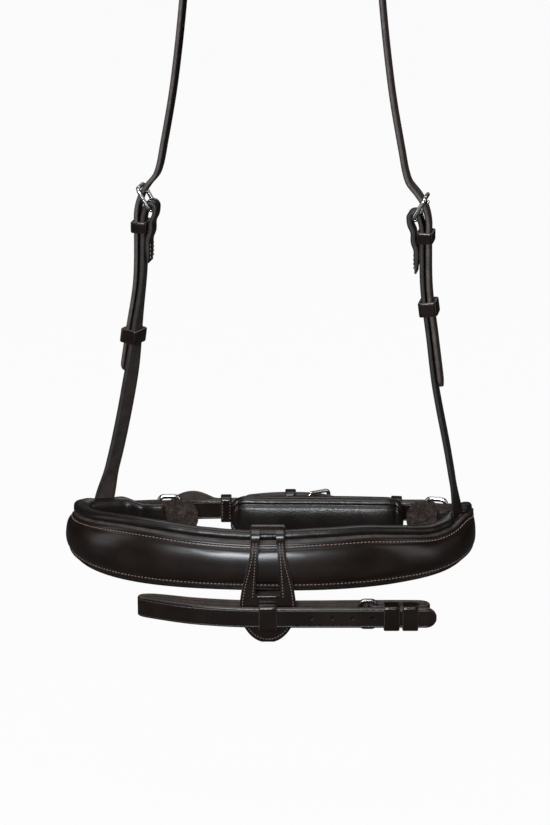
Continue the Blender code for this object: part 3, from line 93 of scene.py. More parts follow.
class Wire:
    """A shader socket that can be used in sums: every operator adds one Math node."""

    def __init__(self, bench, socket):
        self.bench = bench
        self.socket = socket

    def sum(self, operation, first, second=0.0):
        return self.bench.node("ShaderNodeMath", {"operation": operation}, {0: first, 1: second})["Value"]

    def __add__(self, other):
        return self.sum("ADD", self, other)

    def __radd__(self, other):
        return self.sum("ADD", other, self)

    def __sub__(self, other):
        return self.sum("SUBTRACT", self, other)

    def __rsub__(self, other):
        return self.sum("SUBTRACT", other, self)

    def __mul__(self, other):
        return self.sum("MULTIPLY", self, other)

    def __rmul__(self, other):
        return self.sum("MULTIPLY", other, self)

    def __truediv__(self, other):
        return self.sum("DIVIDE", self, other)

    def __abs__(self):
        return self.sum("ABSOLUTE", self)

    def step(self, low, high):
        """Rises smoothly from 0 at low to 1 at high."""
        return self.bench.node("ShaderNodeMapRange", {"interpolation_type": "SMOOTHSTEP"},
                               {"Value": self, "From Min": low, "From Max": high})["Result"]

    def most(self, other):
        return self.sum("MAXIMUM", self, other)


class Outputs:
    """Output sockets of a node by name, each as a Wire."""

    def __init__(self, bench, node):
        self.bench = bench
        self.node = node

    def __getitem__(self, name):
        return Wire(self.bench, self.node.outputs[name])


class Bench:
    """A new material and one way to add any node to it."""

    def __init__(self, name):
        self.material = bpy.data.materials.new(name)
        self.material.use_nodes = True
        self.tree = self.material.node_tree
        self.tree.nodes.clear()

    def node(self, kind, settings=None, inputs=None):
        node = self.tree.nodes.new(kind)
        for key, value in (settings or {}).items():
            if key == "stops":
                set_stops(node.color_ramp, value)
            else:
                setattr(node, key, value)
        for key, value in (inputs or {}).items():
            socket = node.inputs[key]
            if isinstance(value, Wire):
                self.tree.links.new(value.socket, socket)
            elif isinstance(value, tuple) and len(value) == 3 and socket.type == "RGBA":
                socket.default_value = (*value, 1)
            else:
                socket.default_value = value
        return Outputs(self, node)

    def mix(self, share, first, second):
        """Colour between two colours."""
        mix = self.tree.nodes.new("ShaderNodeMix")
        mix.data_type = "RGBA"
        for socket, value in ((mix.inputs[0], share), (mix.inputs[6], first), (mix.inputs[7], second)):
            if isinstance(value, Wire):
                self.tree.links.new(value.socket, socket)
            else:
                socket.default_value = (*value, 1) if isinstance(value, tuple) else value
        return Wire(self, mix.outputs[2])

    def noise(self, vector, scale, detail=2.0, roughness=0.5):
        return self.node("ShaderNodeTexNoise", {}, {"Vector": vector, "Scale": scale, "Detail": detail,
                                                    "Roughness": roughness})["Fac"]

    def bump(self, height, distance, strength=1.0, below=None):
        inputs = {"Height": height, "Distance": distance, "Strength": strength}
        if below is not None:
            inputs["Normal"] = below
        return self.node("ShaderNodeBump", {}, inputs)["Normal"]

    def place(self):
        return self.node("ShaderNodeTexCoord")["Object"]

    def principled(self, colour, rough, bumped, index=1.5, metallic=0.0):
        """Close the material with one Principled surface."""
        inputs = {"Base Color": colour, "Roughness": rough, "Normal": bumped, "IOR": index,
                  "Metallic": metallic}
        return self.finish(self.node("ShaderNodeBsdfPrincipled", {}, inputs)["BSDF"])

    def finish(self, surface):
        self.node("ShaderNodeOutputMaterial", {}, {"Surface": surface})
        return self.material


def set_stops(ramp, stops):
    """Give a colour ramp its stops, each a place and a grey or colour."""
    while len(ramp.elements) < len(stops):
        ramp.elements.new(1.0)
    for element, (place, colour) in zip(ramp.elements, stops):
        element.position = place
        element.color = (*colour, 1) if isinstance(colour, tuple) else (colour, colour, colour, 1)


def white_to_camera(name, colour):
    """A matt floor that the camera sees mostly as plain white, and that still takes a shadow."""
    bench = Bench(name)
    rays = bench.node("ShaderNodeLightPath")
    seen = rays["Is Camera Ray"].most(rays["Is Transmission Ray"]) * 0.8
    matt = bench.node("ShaderNodeBsdfDiffuse", {}, {"Color": colour})["BSDF"]
    glow = bench.node("ShaderNodeEmission", {}, {"Color": (1.0, 1.0, 1.0), "Strength": 1.2})["Emission"]
    both = bench.node("ShaderNodeMixShader", {}, {0: seen, 1: matt, 2: glow})["Shader"]
    return bench.finish(both)


def floor_surface():
    """Flat and level on every side, so that no view round the noseband is hidden behind it."""
    x, y = np.meshgrid(np.linspace(-1, 1, 3) * FLOOR_SIZE / 2, np.linspace(-1, 1, 3) * FLOOR_SIZE / 2)
    return np.stack([x, y, 0 * x + cad_low.z - FLOOR_DROP], axis=-1)


def grid_mesh(name, points):
    """Quads between neighbouring points of a grid."""
    rows, columns = points.shape[:2]
    index = np.arange(rows * columns).reshape(rows, columns)
    here, right = index[:, :-1], index[:, 1:]
    faces = np.stack([here[:-1], right[:-1], right[1:], here[1:]], axis=-1).reshape(-1, 4)
    mesh = bpy.data.meshes.new(name)
    mesh.from_pydata(points.reshape(-1, 3), [], faces.tolist())
    mesh.shade_smooth()
    return mesh


floor = bpy.data.objects.new("studio_floor", grid_mesh("studio_floor", floor_surface()))
floor.data.materials.append(white_to_camera("studio_white", (0.10, 0.10, 0.10)))
scene.collection.objects.link(floor)
floor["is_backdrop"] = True


def lamp(name, place, aim, size, power, colour=(1.0, 1.0, 1.0)):
    data = bpy.data.lights.new(name, "AREA")
    data.shape = "RECTANGLE"
    data.size, data.size_y = size
    data.energy = power
    data.color = colour
    thing = bpy.data.objects.new(name, data)
    thing.location = place
    thing.rotation_euler = (Vector(aim) - Vector(place)).to_track_quat("-Z", "Y").to_euler()
    scene.collection.objects.link(thing)


middle = (0.0, 0.0, -0.40)
lamp("key_lamp", (0.0, -1.30, 0.10), middle, (0.60, 0.34), KEY_POWER, (0.90, 0.95, 1.0))
lamp("top_lamp", (-0.1, -0.35, 0.75), middle, (0.9, 0.5), TOP_POWER, (0.97, 0.98, 1.0))
lamp("left_lamp", (-1.3, -0.5, 0.0), middle, (0.5, 1.2), SIDE_POWER)
lamp("right_lamp", (1.3, -0.4, 0.0), middle, (0.5, 1.2), SIDE_POWER)
lamp("back_lamp", (0.0, 1.1, 0.5), middle, (1.2, 0.5), BACK_POWER)

world = bpy.data.worlds.new("studio_world")
world.use_nodes = True
scene.world = world
background = world.node_tree.nodes["Background"]
background.inputs["Color"].default_value = (1, 1, 1, 1)
paths = world.node_tree.nodes.new("ShaderNodeLightPath")
level = world.node_tree.nodes.new("ShaderNodeMapRange")
level.inputs["To Min"].default_value = WORLD_STRENGTH
level.inputs["To Max"].default_value = 1.0
world.node_tree.links.new(paths.outputs["Is Camera Ray"], level.inputs["Value"])
world.node_tree.links.new(level.outputs["Result"], background.inputs["Strength"])


# Nosepiece leather: the raised front panel that lies over the horse's nose. It is cut from thick
# bridle leather, blocked over a strip that lifts its middle, and sewn down near both edges to the
# padding behind it. It is fixed: the cheek straps and the ring chapes are caught between the two.
MM = 0.001
GAP = 0.3 * MM
PLAY = 0.6 * MM
HANG_DROP = 468.0 * MM
LOOP_HALF_WIDTH = 128.8 * MM
LOOP_FRONT_DEPTH = 76.0 * MM
LOOP_REAR_DEPTH = 26.0 * MM
LOOP_FRONT_POWER_SHARE = 2.1
LOOP_REAR_POWER_SHARE = 2.6
LOOP_CENTRE_X = -7.2 * MM
LOOP_CENTRE_Y = 4.8 * MM
LOOP_TWIST = math.radians(10.0)
LOOP_SAMPLES = 1440
LOOP_TANGENT_REACH = 2.0 * MM
NOSE_CENTRE_S = -20.0 * MM
NOSE_HALF_LENGTH = 206.0 * MM
NOSE_HALF_HEIGHT = 13.7 * MM
NOSE_CHEEK_REACH = 115.0 * MM
NOSE_LEAN = 3.0 * MM
NOSE_LEATHER = 2.8 * MM
SHOULDER_RISE = 2.0 * MM
PANEL_RISE = 2.6 * MM
PANEL_EDGE_SHARE = 0.74
ROLL_RISE = 4.8 * MM
ROLL_HANG = 2.2 * MM
PADDING_DEPTH = 8.6 * MM
PADDING_END_SHARE = 0.42
PANEL_FOLLOW_SHARE = 0.8
LEAN_LIMIT_SHARE = 0.6
ROLL_FADE = 26.0 * MM
PADDING_PAST_END = 7.0 * MM
PADDING_TUCK = 20.0 * MM
GUARD_LENGTH = 34.0 * MM
GUARD_OVERLAP = 5.0 * MM
GUARD_INSET = 7.6 * MM
GUARD_THICK = 2.2 * MM
CHAPE_LENGTH = 14.0 * MM
NOSE_TOP_SHARES = ((-1.0, 0.47), (-0.84, 0.62), (-0.70, 0.70), (-0.52, 1.0), (-0.38, 1.2), (-0.27, 1.2),
                   (-0.15, 1.1), (0.04, 1.0), (0.28, 1.08), (0.40, 1.06), (0.50, 0.88), (0.64, 0.62),
                   (0.71, 0.72), (0.77, 0.95), (0.86, 0.8), (1.0, 0.40))
NOSE_BOTTOM_SHARES = ((-1.0, -0.58), (-0.83, -0.68), (-0.68, -0.80), (-0.5, -1.0), (0.0, -1.0), (0.5, -1.02),
                      (0.69, -0.93), (0.77, -0.81), (0.85, -0.71), (1.0, -0.58))
NOSE_FINE = 420
THREAD_WIDTH = 0.62 * MM
NOSE_STITCH = 2.35 * MM


def arc_lengths(points):
    return np.concatenate([[0], np.cumsum(np.linalg.norm(np.diff(points, axis=0), axis=1))])


def read_along(at, along, points):
    """Points of a line at the arc lengths at."""
    return np.stack([np.interp(at, along, column) for column in np.asarray(points).T], axis=-1)


def cubic(share, start, leave, end, arrive):
    """Cubic from start to end that leaves and arrives with the given slopes."""
    return ((2 * share ** 3 - 3 * share ** 2 + 1) * start + (share ** 3 - 2 * share ** 2 + share) * leave
            + (3 * share ** 2 - 2 * share ** 3) * end + (share ** 3 - share ** 2) * arrive)


def loop_table():
    """Points, arc lengths and outward normals of the plan loop, once round from the rear."""
    angle = np.linspace(-math.pi, math.pi, LOOP_SAMPLES + 1)
    sine = np.sin(angle)
    cosine = np.cos(angle)
    front = cosine > 0
    power = np.where(front, LOOP_FRONT_POWER_SHARE, LOOP_REAR_POWER_SHARE)
    depth = np.where(front, -LOOP_FRONT_DEPTH, LOOP_REAR_DEPTH)
    x = LOOP_HALF_WIDTH * np.sign(sine) * np.abs(sine) ** (2 / power)
    y = depth * np.abs(cosine) ** (2 / power)
    points = np.stack([x, y], axis=1)
    length = arc_lengths(points)
    return points, length - np.interp(0, angle, length), length[-1]


LOOP_POINTS, LOOP_S, LOOP_LENGTH = loop_table()


def loop_plan(s, inset=0.0):
    """Plan place, tangent and outward normal at arc length s, set in from the outer face."""
    s = (np.asarray(s, float) - LOOP_S[0]) % LOOP_LENGTH + LOOP_S[0]
    place = []
    for step in (-LOOP_TANGENT_REACH, 0, LOOP_TANGENT_REACH):
        at = (s + step - LOOP_S[0]) % LOOP_LENGTH + LOOP_S[0]
        place.append(read_along(at, LOOP_S, LOOP_POINTS))
    tangent = place[2] - place[0]
    tangent = tangent / np.linalg.norm(tangent, axis=-1, keepdims=True)
    outward = np.stack([tangent[..., 1], -tangent[..., 0]], axis=-1)
    return place[1] - outward * np.asarray(inset)[..., None], tangent, outward


def to_world(local_xy, z):
    """Turn plan places of the loop into the part's frame, z measured from the noseband's middle."""
    turned = turn_plan(local_xy)
    x = LOOP_CENTRE_X + turned[..., 0]
    y = LOOP_CENTRE_Y + turned[..., 1]
    return np.stack([x, y, np.broadcast_to(np.asarray(z) - HANG_DROP, x.shape)], axis=-1)


def turn_plan(direction):
    """Turn a plan direction of the loop into the part's frame."""
    c = math.cos(LOOP_TWIST)
    s = math.sin(LOOP_TWIST)
    direction = np.asarray(direction, float)
    x = c * direction[..., 0] - s * direction[..., 1]
    y = s * direction[..., 0] + c * direction[..., 1]
    return np.stack([x, y, np.zeros_like(x)], axis=-1)


def smooth_share(value):
    value = np.clip(value, 0, 1)
    return value * value * (3 - 2 * value)


def unit(vectors):
    vectors = np.asarray(vectors, float)
    return vectors / np.linalg.norm(vectors, axis=-1, keepdims=True)


def along_shares(away, table):
    """Smooth reading of a table of shares along the nosepiece."""
    places = np.array([place for place, value in table])
    values = np.array([value for place, value in table])
    at = np.clip(np.atleast_1d(away) / NOSE_HALF_LENGTH, -1, 1)
    i = np.clip(np.searchsorted(places, at) - 1, 0, len(places) - 2)
    slopes = np.gradient(values, places)
    width = places[i + 1] - places[i]
    share = (at - places[i]) / width
    height = cubic(share, values[i], slopes[i] * width, values[i + 1], slopes[i + 1] * width)
    return height[0] if np.ndim(away) == 0 else height


def nose_edges(away):
    """Heights of the nosepiece leather's bottom and top edge at a distance along it from its middle."""
    top = along_shares(away, NOSE_TOP_SHARES)
    bottom = along_shares(away, NOSE_BOTTOM_SHARES)
    return bottom * NOSE_HALF_HEIGHT, top * NOSE_HALF_HEIGHT


def nose_lean(away):
    """How far the nosepiece leans in at its top edge, fading out towards its ends."""
    reach = (abs(away) - NOSE_CHEEK_REACH) / (NOSE_HALF_LENGTH - NOSE_CHEEK_REACH)
    return NOSE_LEAN * (1 - smooth_share(reach))


def nose_section(s, out, z):
    """World points of one upright section of the noseband at arc length s."""
    place, tangent, outward = loop_plan(s)
    flat = place + outward * np.asarray(out)[:, None]
    return to_world(flat, z)


def panel_rise(share):
    """Rounded rise of the raised panel: full in the middle, falling to nothing at its edge share."""
    edge = np.where(np.asarray(share) > 0, PANEL_EDGE_SHARE + 0.07, PANEL_EDGE_SHARE + 0.02)
    inside = np.clip(1 - (np.abs(share) / edge) ** 2.6, 0, 1)
    return PANEL_RISE * 1.12 * inside ** 0.68


def surfaced(mesh, place, side, sharp):
    """Give a mesh its UV, side values, outward normals and smooth shading with sharp edges."""
    corner = np.empty(len(mesh.loops), int)
    mesh.loops.foreach_get("vertex_index", corner)
    mesh.uv_layers.new(name="UVMap").uv.foreach_set("vector", place[corner].ravel())
    mesh.attributes.new("side", "FLOAT", "POINT").data.foreach_set("value", side)
    whole = bmesh.new()
    whole.from_mesh(mesh)
    bmesh.ops.recalc_face_normals(whole, faces=whole.faces)
    whole.to_mesh(mesh)
    whole.free()
    mesh.shade_smooth()
    mesh.set_sharp_from_angle(angle=sharp)
    return mesh


def skin(rings, face=None, across=None, sharp=math.radians(50)):
    """A closed smooth solid through sections, with UV in metres: along the piece and across it."""
    rings = np.asarray(rings, float)
    count, sides = rings.shape[:2]
    index = np.arange(count * sides).reshape(count, sides)
    right = np.roll(index, -1, axis=1)
    quads = np.stack([index[:-1], right[:-1], right[1:], index[1:]], axis=-1).reshape(-1, 4)
    faces = quads.tolist() + [index[0, ::-1].tolist(), index[-1].tolist()]
    mesh = bpy.data.meshes.new("piece")
    mesh.from_pydata(rings.reshape(-1, 3), [], faces)
    along = np.repeat(arc_lengths(rings.mean(axis=1)), sides)
    across = np.broadcast_to(0.0 if across is None else across, (count, sides)).ravel()
    side = np.broadcast_to(0.0 if face is None else face, (count, sides)).ravel()
    return surfaced(mesh, np.stack([along, across], axis=1), side, sharp)


def show(name, mesh, material, body, slot, *nodes):
    """Put a finished piece in the scene, on its body and in place of its CAD nodes."""
    mesh.name = name
    thing = bpy.data.objects.new(name, mesh)
    mesh.materials.append(material)
    scene.collection.objects.link(thing)
    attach(thing, body)
    if nodes:
        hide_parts(*nodes)
    return thing


def stitch_mesh(places, run, face, length, width, sink=0.3):
    """Short raised threads: a flattened ball at each place, stretched along its run."""
    ring = np.linspace(0, 2 * math.pi, 7)[:-1]
    ends = np.array([-1.0, -0.62, 0.0, 0.62, 1.0])
    thin = np.sqrt(np.clip(1 - ends ** 4, 0, 1)) + 0.02
    side = np.cross(face, run)
    thin = thin[None, :, None, None]
    cosine, sine = np.cos(ring)[None, None, :, None], np.sin(ring)[None, None, :, None]
    verts = (places[:, None, None]
             + run[:, None, None] * (ends * length / 2)[None, :, None, None]
             + side[:, None, None] * (cosine * thin * width / 2)
             + face[:, None, None] * ((sine * thin - sink) * width / 2))
    count = len(places)
    index = np.arange(count * 30).reshape(count, 5, 6)
    right = np.roll(index, -1, axis=2)
    quads = np.stack([index[:, :-1], right[:, :-1], right[:, 1:], index[:, 1:]], axis=-1).reshape(-1, 4)
    caps = np.concatenate([index[:, 0, ::-1], index[:, -1]])
    mesh = bpy.data.meshes.new("piece")
    mesh.from_pydata(verts.reshape(-1, 3), [], quads.tolist() + caps.tolist())
    mesh.shade_smooth()
    return mesh


def stitch_row(line, face, pitch, sway=0.0):
    """Even stitch places along a line of points, with their runs and the way that they face."""
    along = arc_lengths(line)
    count = max(int(along[-1] / pitch), 1)
    at = (np.arange(count) + 0.5) * along[-1] / count
    places = read_along(at, along, line)
    outward = unit(read_along(at, along, face))
    run = unit(read_along(at + pitch * 0.3, along, line) - read_along(at - pitch * 0.3, along, line))
    run = unit(run + np.cross(outward, run) * sway)
    return places, run, unit(outward - run * np.sum(outward * run, axis=1, keepdims=True))


def shade_of(colour, share):
    return tuple(c * share for c in colour)


def joined(rows):
    """Several stitch rows as one: places, runs and directions."""
    return (np.concatenate(column) for column in zip(*rows))


def leather(name, colour, flesh, edge, gloss, crease=0.0):
    """Bridle leather: waxed grain side, napped flesh side and dyed cut edge, told apart by the side value."""
    bench = Bench(name)
    place = bench.place()
    side = bench.node("ShaderNodeAttribute", {"attribute_name": "side"})["Fac"]
    uv = bench.node("ShaderNodeSeparateXYZ", {}, {0: bench.node("ShaderNodeTexCoord")["UV"]})
    pores = bench.noise(place, 900.0, 3.0, 0.6)
    clouds = bench.noise(place, 46.0, 3.0)
    wear = bench.noise(place, 150.0, 4.0, 0.65)
    is_edge = (0.9 - abs(side)).step(0.0, 0.5)
    is_flesh = (side * -1.0).step(0.55, 0.9)
    grain_colour = bench.mix(clouds.step(0.35, 0.72), colour, shade_of(colour, 1.75))
    flesh_colour = bench.mix(wear.step(0.3, 0.7), shade_of(flesh, 0.6), shade_of(flesh, 1.35))
    edge_colour = bench.mix(wear.step(0.32, 0.7), shade_of(edge, 0.5), edge)
    base = bench.mix(is_edge, bench.mix(is_flesh, grain_colour, flesh_colour), edge_colour)
    rough = gloss + clouds * 0.12 + is_edge * 0.25 + is_flesh * 0.5
    height = pores * (0.16 + is_flesh * 2.4) + wear * 0.3
    # Crease lines pressed 1.5 mm in from each edge: a groove in the bump, and a lighter line colour that is a
    # painted highlight along the crease.
    if crease:
        line = (abs(abs(uv["Y"]) - crease) * (1 / (0.55 * MM))).step(0.0, 1.0)
        height = height + line * 4.0
        base = bench.mix(line, shade_of(edge, 0.45), base)
    return bench.principled(base, rough, bench.bump(height, 0.12 * MM), 1.47)


LEATHER_COLOUR = (0.0060, 0.0032, 0.0021)
FLESH_COLOUR = (0.034, 0.021, 0.015)
EDGE_COLOUR = (0.075, 0.060, 0.052)
THREAD_COLOUR = (0.25, 0.18, 0.14)
nose_leather = leather("nosepiece_bridle_leather", LEATHER_COLOUR, FLESH_COLOUR, EDGE_COLOUR, 0.24)


def thread_material():
    """Waxed linen: a pale tan thread whose tone varies at random, down to 0.62 of its colour."""
    bench = Bench("waxed_thread")
    tone = bench.noise(bench.place(), 700.0, 2.0)
    colour = bench.mix(tone, shade_of(THREAD_COLOUR, 0.62), THREAD_COLOUR)
    return bench.principled(colour, 0.62, bench.bump(tone, 0.1 * MM))


thread = thread_material()


def nose_front(away, share, lift=0.0):
    """Place on the leather's front face: out is the panel's rise at that share, less the lean."""
    away = np.asarray(away, float)
    bottom, top = nose_edges(away)
    share = np.broadcast_to(share, away.shape)
    end_share = smooth_share((NOSE_HALF_LENGTH - CHAPE_LENGTH - abs(away)) / GUARD_LENGTH)
    flat = share * (top - bottom) / 2
    out = panel_rise(share) * end_share - nose_lean(away) * flat / (top - bottom) + lift
    place, tangent, outward = loop_plan(NOSE_CENTRE_S + away)
    return to_world(place + outward * out[..., None], flat + (top + bottom) / 2), turn_plan(outward)


def nosepiece_leather_rings():
    """Sections of the front leather: rise(share) in front, its back 2.8 mm behind, and rounded edges.

    The shoulder climbs 2 mm towards the roll along the top edge, as in the CAD part.
    """
    shares = np.concatenate([[-0.985, -0.95, -0.9, -0.84], np.linspace(-0.78, 0.78, 33),
                             [0.84, 0.9, 0.95, 0.985]])
    rings = []
    for away in np.linspace(-NOSE_HALF_LENGTH, NOSE_HALF_LENGTH, NOSE_FINE):
        bottom, top = nose_edges(away)
        end_share = smooth_share((NOSE_HALF_LENGTH - CHAPE_LENGTH - abs(away)) / GUARD_LENGTH)
        flat = shares * (top - bottom) / 2
        wave = 0.12 * MM * np.sin(away / (17 * MM)) * np.sin(away / (6.1 * MM) + shares * 2) * end_share
        out = (panel_rise(shares) + wave * (np.abs(shares) < 0.6)) * end_share
        out = out - nose_lean(away) * flat / (top - bottom)
        sew = np.exp(-((shares - np.where(shares > 0, 0.88, -0.82)) / 0.045) ** 2) * 0.35 * MM
        z = flat + (top + bottom) / 2
        back = out - NOSE_LEATHER
        front = out - sew
        front[:2] -= np.array([0.75, 0.2]) * MM
        front[-2:] -= np.array([0.15, 0.45]) * MM
        edge_z = np.array([top + 0.45 * MM, top + SHOULDER_RISE - 0.5 * MM, top + SHOULDER_RISE])
        edge_out = np.array([out[-1] - 1.0 * MM, out[-1] - 2.3 * MM, out[-1] - NOSE_LEATHER])
        under_out = np.array([out[0] - NOSE_LEATHER, out[0] - 1.9 * MM, out[0] - 1.1 * MM])
        under_z = np.array([bottom + 0.15 * MM, bottom, bottom])
        rings.append(nose_section(NOSE_CENTRE_S + away,
                                  np.concatenate([front, edge_out, back[-2:0:-1], under_out]),
                                  np.concatenate([z, edge_z, z[-2:0:-1], under_z])))
    face = np.concatenate([[0.5, 1.0], np.ones(len(shares) - 4), [1.0, 0.95], [0.8, 0.3, 0.0],
                           -np.ones(len(shares) - 2), np.zeros(3)])
    return rings, face


rings, face = nosepiece_leather_rings()
show("nosepiece_front_panel", skin(rings, face), nose_leather, "noseband", "bridle_leather",
     "nosepiece_leather")

rows = []
for share, reach in ((0.88, 4.0 * MM), (-0.82, 4.0 * MM)):
    away = np.linspace(-NOSE_HALF_LENGTH + reach, NOSE_HALF_LENGTH - reach, 600)
    line, outward = nose_front(away, share, 0.05 * MM)
    rows.append(stitch_row(line, outward, NOSE_STITCH, 0.12))
places, run, outward = joined(rows)
show("nosepiece_panel_stitches", stitch_mesh(places, run, outward, NOSE_STITCH * 0.74, THREAD_WIDTH),
     thread, "noseband", "bridle_leather")


# Nosepiece padding: soft lining leather wrapped over foam, so that a fat roll stands above the front
# leather and a thinner one hangs below it. It is sewn to the back of the front leather all round,
# and the cheek straps go down between the two.
PADDING_SECTION_SHARES = ((-1.0, 0.0), (-0.72, 0.0), (-0.4, -1.0), (0.0, -1.0), (0.4, -1.0), (0.72, 0.0),
                          (1.0, 0.0))
SAG_SECTION_SHARES = ((-0.7, 0.75), (-0.25, 1.0), (0.1, 0.75), (0.2, 0.35))
HEEL_X = 82.0 * MM
HEEL_Z = 206.5 * MM
CHEEK_LINE_SHARES = ((0.504, 0.2663), (0.312, 0.4843), (0.222, 0.6344), (0.1325, 0.7845))
CHEEK_SEAT_DEPTH = 6.0 * MM
CHEEK_SEAT_SLACK = 3.0 * MM
SKIVED_THICK = 1.6 * MM
LEFT_CHEEK_SPREAD = 173.0 * MM
RIGHT_CHEEK_SPREAD = 157.0 * MM
SEAT_TWIST_SHARE = 0.7
STRAP_WIDTH = 13.0 * MM
STRAP_THICK = 3.0 * MM
ROLL_SHAPE_SHARES = ((0.45, 0.04), (0.80, 0.34), (0.62, 0.74), (0.0, 1.0), (-0.55, 0.94), (-0.95, 0.45))
PADDING_FINE = 300
SEAT_PRESS = 3.4 * MM


def padding_fat(away):
    """Share of its full thickness that the padding has near its ends."""
    from_end = (NOSE_HALF_LENGTH - abs(away)) / ROLL_FADE
    return PADDING_END_SHARE + (1 - PADDING_END_SHARE) * smooth_share(from_end)


def round_line(points, count):
    """Closed smooth curve through the points of a section: each span is a cubic through its neighbours."""
    points = np.asarray(points, float)
    before, after, beyond = np.roll(points, 1, 0), np.roll(points, -1, 0), np.roll(points, -2, 0)
    span = np.linalg.norm(after - points, axis=1)[:, None] + 1e-9
    reach = np.linalg.norm(points - before, axis=1)[:, None] + 1e-9
    further = np.linalg.norm(beyond - after, axis=1)[:, None] + 1e-9
    leave = (after - before) / (reach + span) * span
    arrive = (beyond - points) / (span + further) * span
    share = (np.arange(6) / 6)[:, None, None]
    fine = cubic(share, points, leave, after, arrive).transpose(1, 0, 2).reshape(-1, points.shape[1])
    closed = np.concatenate([fine, fine[:1]])
    along = arc_lengths(closed)
    return read_along(np.arange(count) / count * along[-1], along, closed)


def padding_section(away):
    """Out and up places of one section: the CAD table's shares of the depth and of the roll's rise."""
    bottom, top = nose_edges(away)
    half = (top - bottom) / 2
    fade = smooth_share((NOSE_HALF_LENGTH - abs(away)) / ROLL_FADE)
    panel_share = smooth_share((NOSE_HALF_LENGTH - CHAPE_LENGTH - abs(away)) / GUARD_LENGTH)
    fat = padding_fat(away)
    tuck_reach = PADDING_TUCK - GUARD_OVERLAP - 4 * PLAY
    tuck = smooth_share((abs(away) - NOSE_HALF_LENGTH + PADDING_TUCK) / tuck_reach)
    behind = -NOSE_LEATHER - GAP - (GUARD_INSET + GUARD_THICK + PLAY - NOSE_LEATHER) * tuck
    lip = NOSE_LEATHER * fade
    seats = (-LEFT_CHEEK_SPREAD, RIGHT_CHEEK_SPREAD)
    press = max(np.exp(-((away - spread) / (9 * MM)) ** 4) for spread in seats)
    points = []
    for height_share, rise_share in PADDING_SECTION_SHARES:
        points.append((behind - rise_share * PANEL_RISE * PANEL_FOLLOW_SHARE * panel_share,
                       height_share * (half + GAP) + (SHOULDER_RISE if height_share == 1 else 0)))
    for out_share, rise_share in ROLL_SHAPE_SHARES:
        out = behind + lip * max(out_share, 0) + PADDING_DEPTH * fat * min(out_share, 0)
        if out_share > -0.5:
            out = min(out, out * (1 - press) + (behind - SEAT_PRESS) * press)
        points.append((out, half + SHOULDER_RISE + GAP + ROLL_RISE * fat * rise_share))
    for depth_share, height_share in ((0.3 + 0.62, 0.75), (0.92, 0.3), (0.92, -0.3), (0.92, -0.75)):
        points.append((behind - PADDING_DEPTH * fat * (1.0 if abs(height_share) > 0.5 else depth_share),
                       height_share * half))
    for out_share, hang_share in SAG_SECTION_SHARES:
        points.append((behind + lip * max(out_share, 0) + PADDING_DEPTH * fat * min(out_share, 0),
                       -half - GAP - ROLL_HANG * fat * hang_share))
    points = np.array(points)
    fold = np.clip(points[:, 1] / (2 * half), -LEAN_LIMIT_SHARE, LEAN_LIMIT_SHARE)
    points[:, 0] -= nose_lean(away) * fold
    points[:, 1] += (top + bottom) / 2
    return points


def padding_rings():
    """Sections along the nosepiece, evenly read round the outline, with faint sideways wrinkles."""
    rings = []
    reach = NOSE_HALF_LENGTH + PADDING_PAST_END
    for away in np.linspace(-reach, reach, PADDING_FINE):
        points = round_line(padding_section(away), 72)
        wrinkle = 0.16 * MM * np.sin(away / (3.1 * MM) + 3 * np.sin(away / (23 * MM)))
        wrinkle = wrinkle * np.clip(points[:, 1] / NOSE_HALF_HEIGHT, 0, 1)
        rings.append(nose_section(NOSE_CENTRE_S + away, points[:, 0] + wrinkle, points[:, 1]))
    rings = np.array(rings)
    for end in (0, -1):
        middle = rings[end].mean(axis=0)
        rings[end] = middle + (rings[end] - middle) * 0.86
    return rings


def soft_leather(name, colour, gloss=0.29):
    """Soft lining leather: fine pebbled grain and small creases across, with a dull sheen."""
    bench = Bench(name)
    place = bench.place()
    pebbles = bench.node("ShaderNodeTexVoronoi", {}, {"Vector": place, "Scale": 1150.0})["Distance"]
    pores = bench.noise(place, 1500.0, 2.0)
    folds = bench.noise(place, 260.0, 3.0, 0.6)
    clouds = bench.noise(place, 60.0, 3.0)
    base = bench.mix(clouds.step(0.3, 0.7), colour, shade_of(colour, 1.7))
    height = pebbles * 0.9 + pores * 0.4 + folds * 1.6
    return bench.principled(base, gloss + clouds * 0.12, bench.bump(height, 0.07 * MM), 1.45)


SOFT_COLOUR = (0.0048, 0.0030, 0.0022)
lining = soft_leather("padded_lining_leather", SOFT_COLOUR)
padding = show("nosepiece_padded_lining", skin(padding_rings(), sharp=math.radians(80)), lining,
               "noseband", "soft_padding", "nosepiece_padding")


# Cheek straps: half-inch bridle leather, one each side. The lower end is skived thin and sewn in
# between the nosepiece leather and its padding. The top end folds round the buckle's heel bar and
# is sewn down to the strap again, with a fixed keeper caught in the seam.
BUCKLE_WIRE = 2.6 * MM
BUCKLE_REACH = 14.5 * MM
BUCKLE_SLOPE = math.radians(61.0)
BUCKLE_INNER_WIDTH = 14.6 * MM
TONGUE_WIRE = 2.0 * MM
CHEEK_CHAPE_LENGTH = 34.5 * MM
CHEEK_FOLD_LEAD = 21.0 * MM
BILLET_STRAIGHT = 18.0 * MM
KEEPER_WALL = 1.3 * MM
KEEPER_WIDTH = 7.0 * MM
FIXED_KEEPER_DOWN = 12.0 * MM
LEFT_RUNNING_KEEPER_DOWN = 82.5 * MM
RIGHT_RUNNING_KEEPER_DOWN = 56.5 * MM
RUNNING_KEEPER_WIDTH = 9.0 * MM
LEFT_STRAP_TURN = math.radians(28.0)
TURN_START_DOWN = 44.0 * MM
TURN_DROP = 75.0 * MM
FOLD_RADIUS = BUCKLE_WIRE / 2 + GAP + STRAP_THICK / 2
STACK_OUT = 5.2 * MM
LAYER_STEP = STRAP_THICK + PLAY
TONGUE_SLOT = TONGUE_WIRE + 2 * PLAY
KEEPER_DEPTH = LAYER_STEP + STRAP_THICK + 2 * PLAY
HOLE_PITCH = 18.6 * MM
HOLE_DIAMETER = 3.4 * MM
HOLE_COUNT = 9
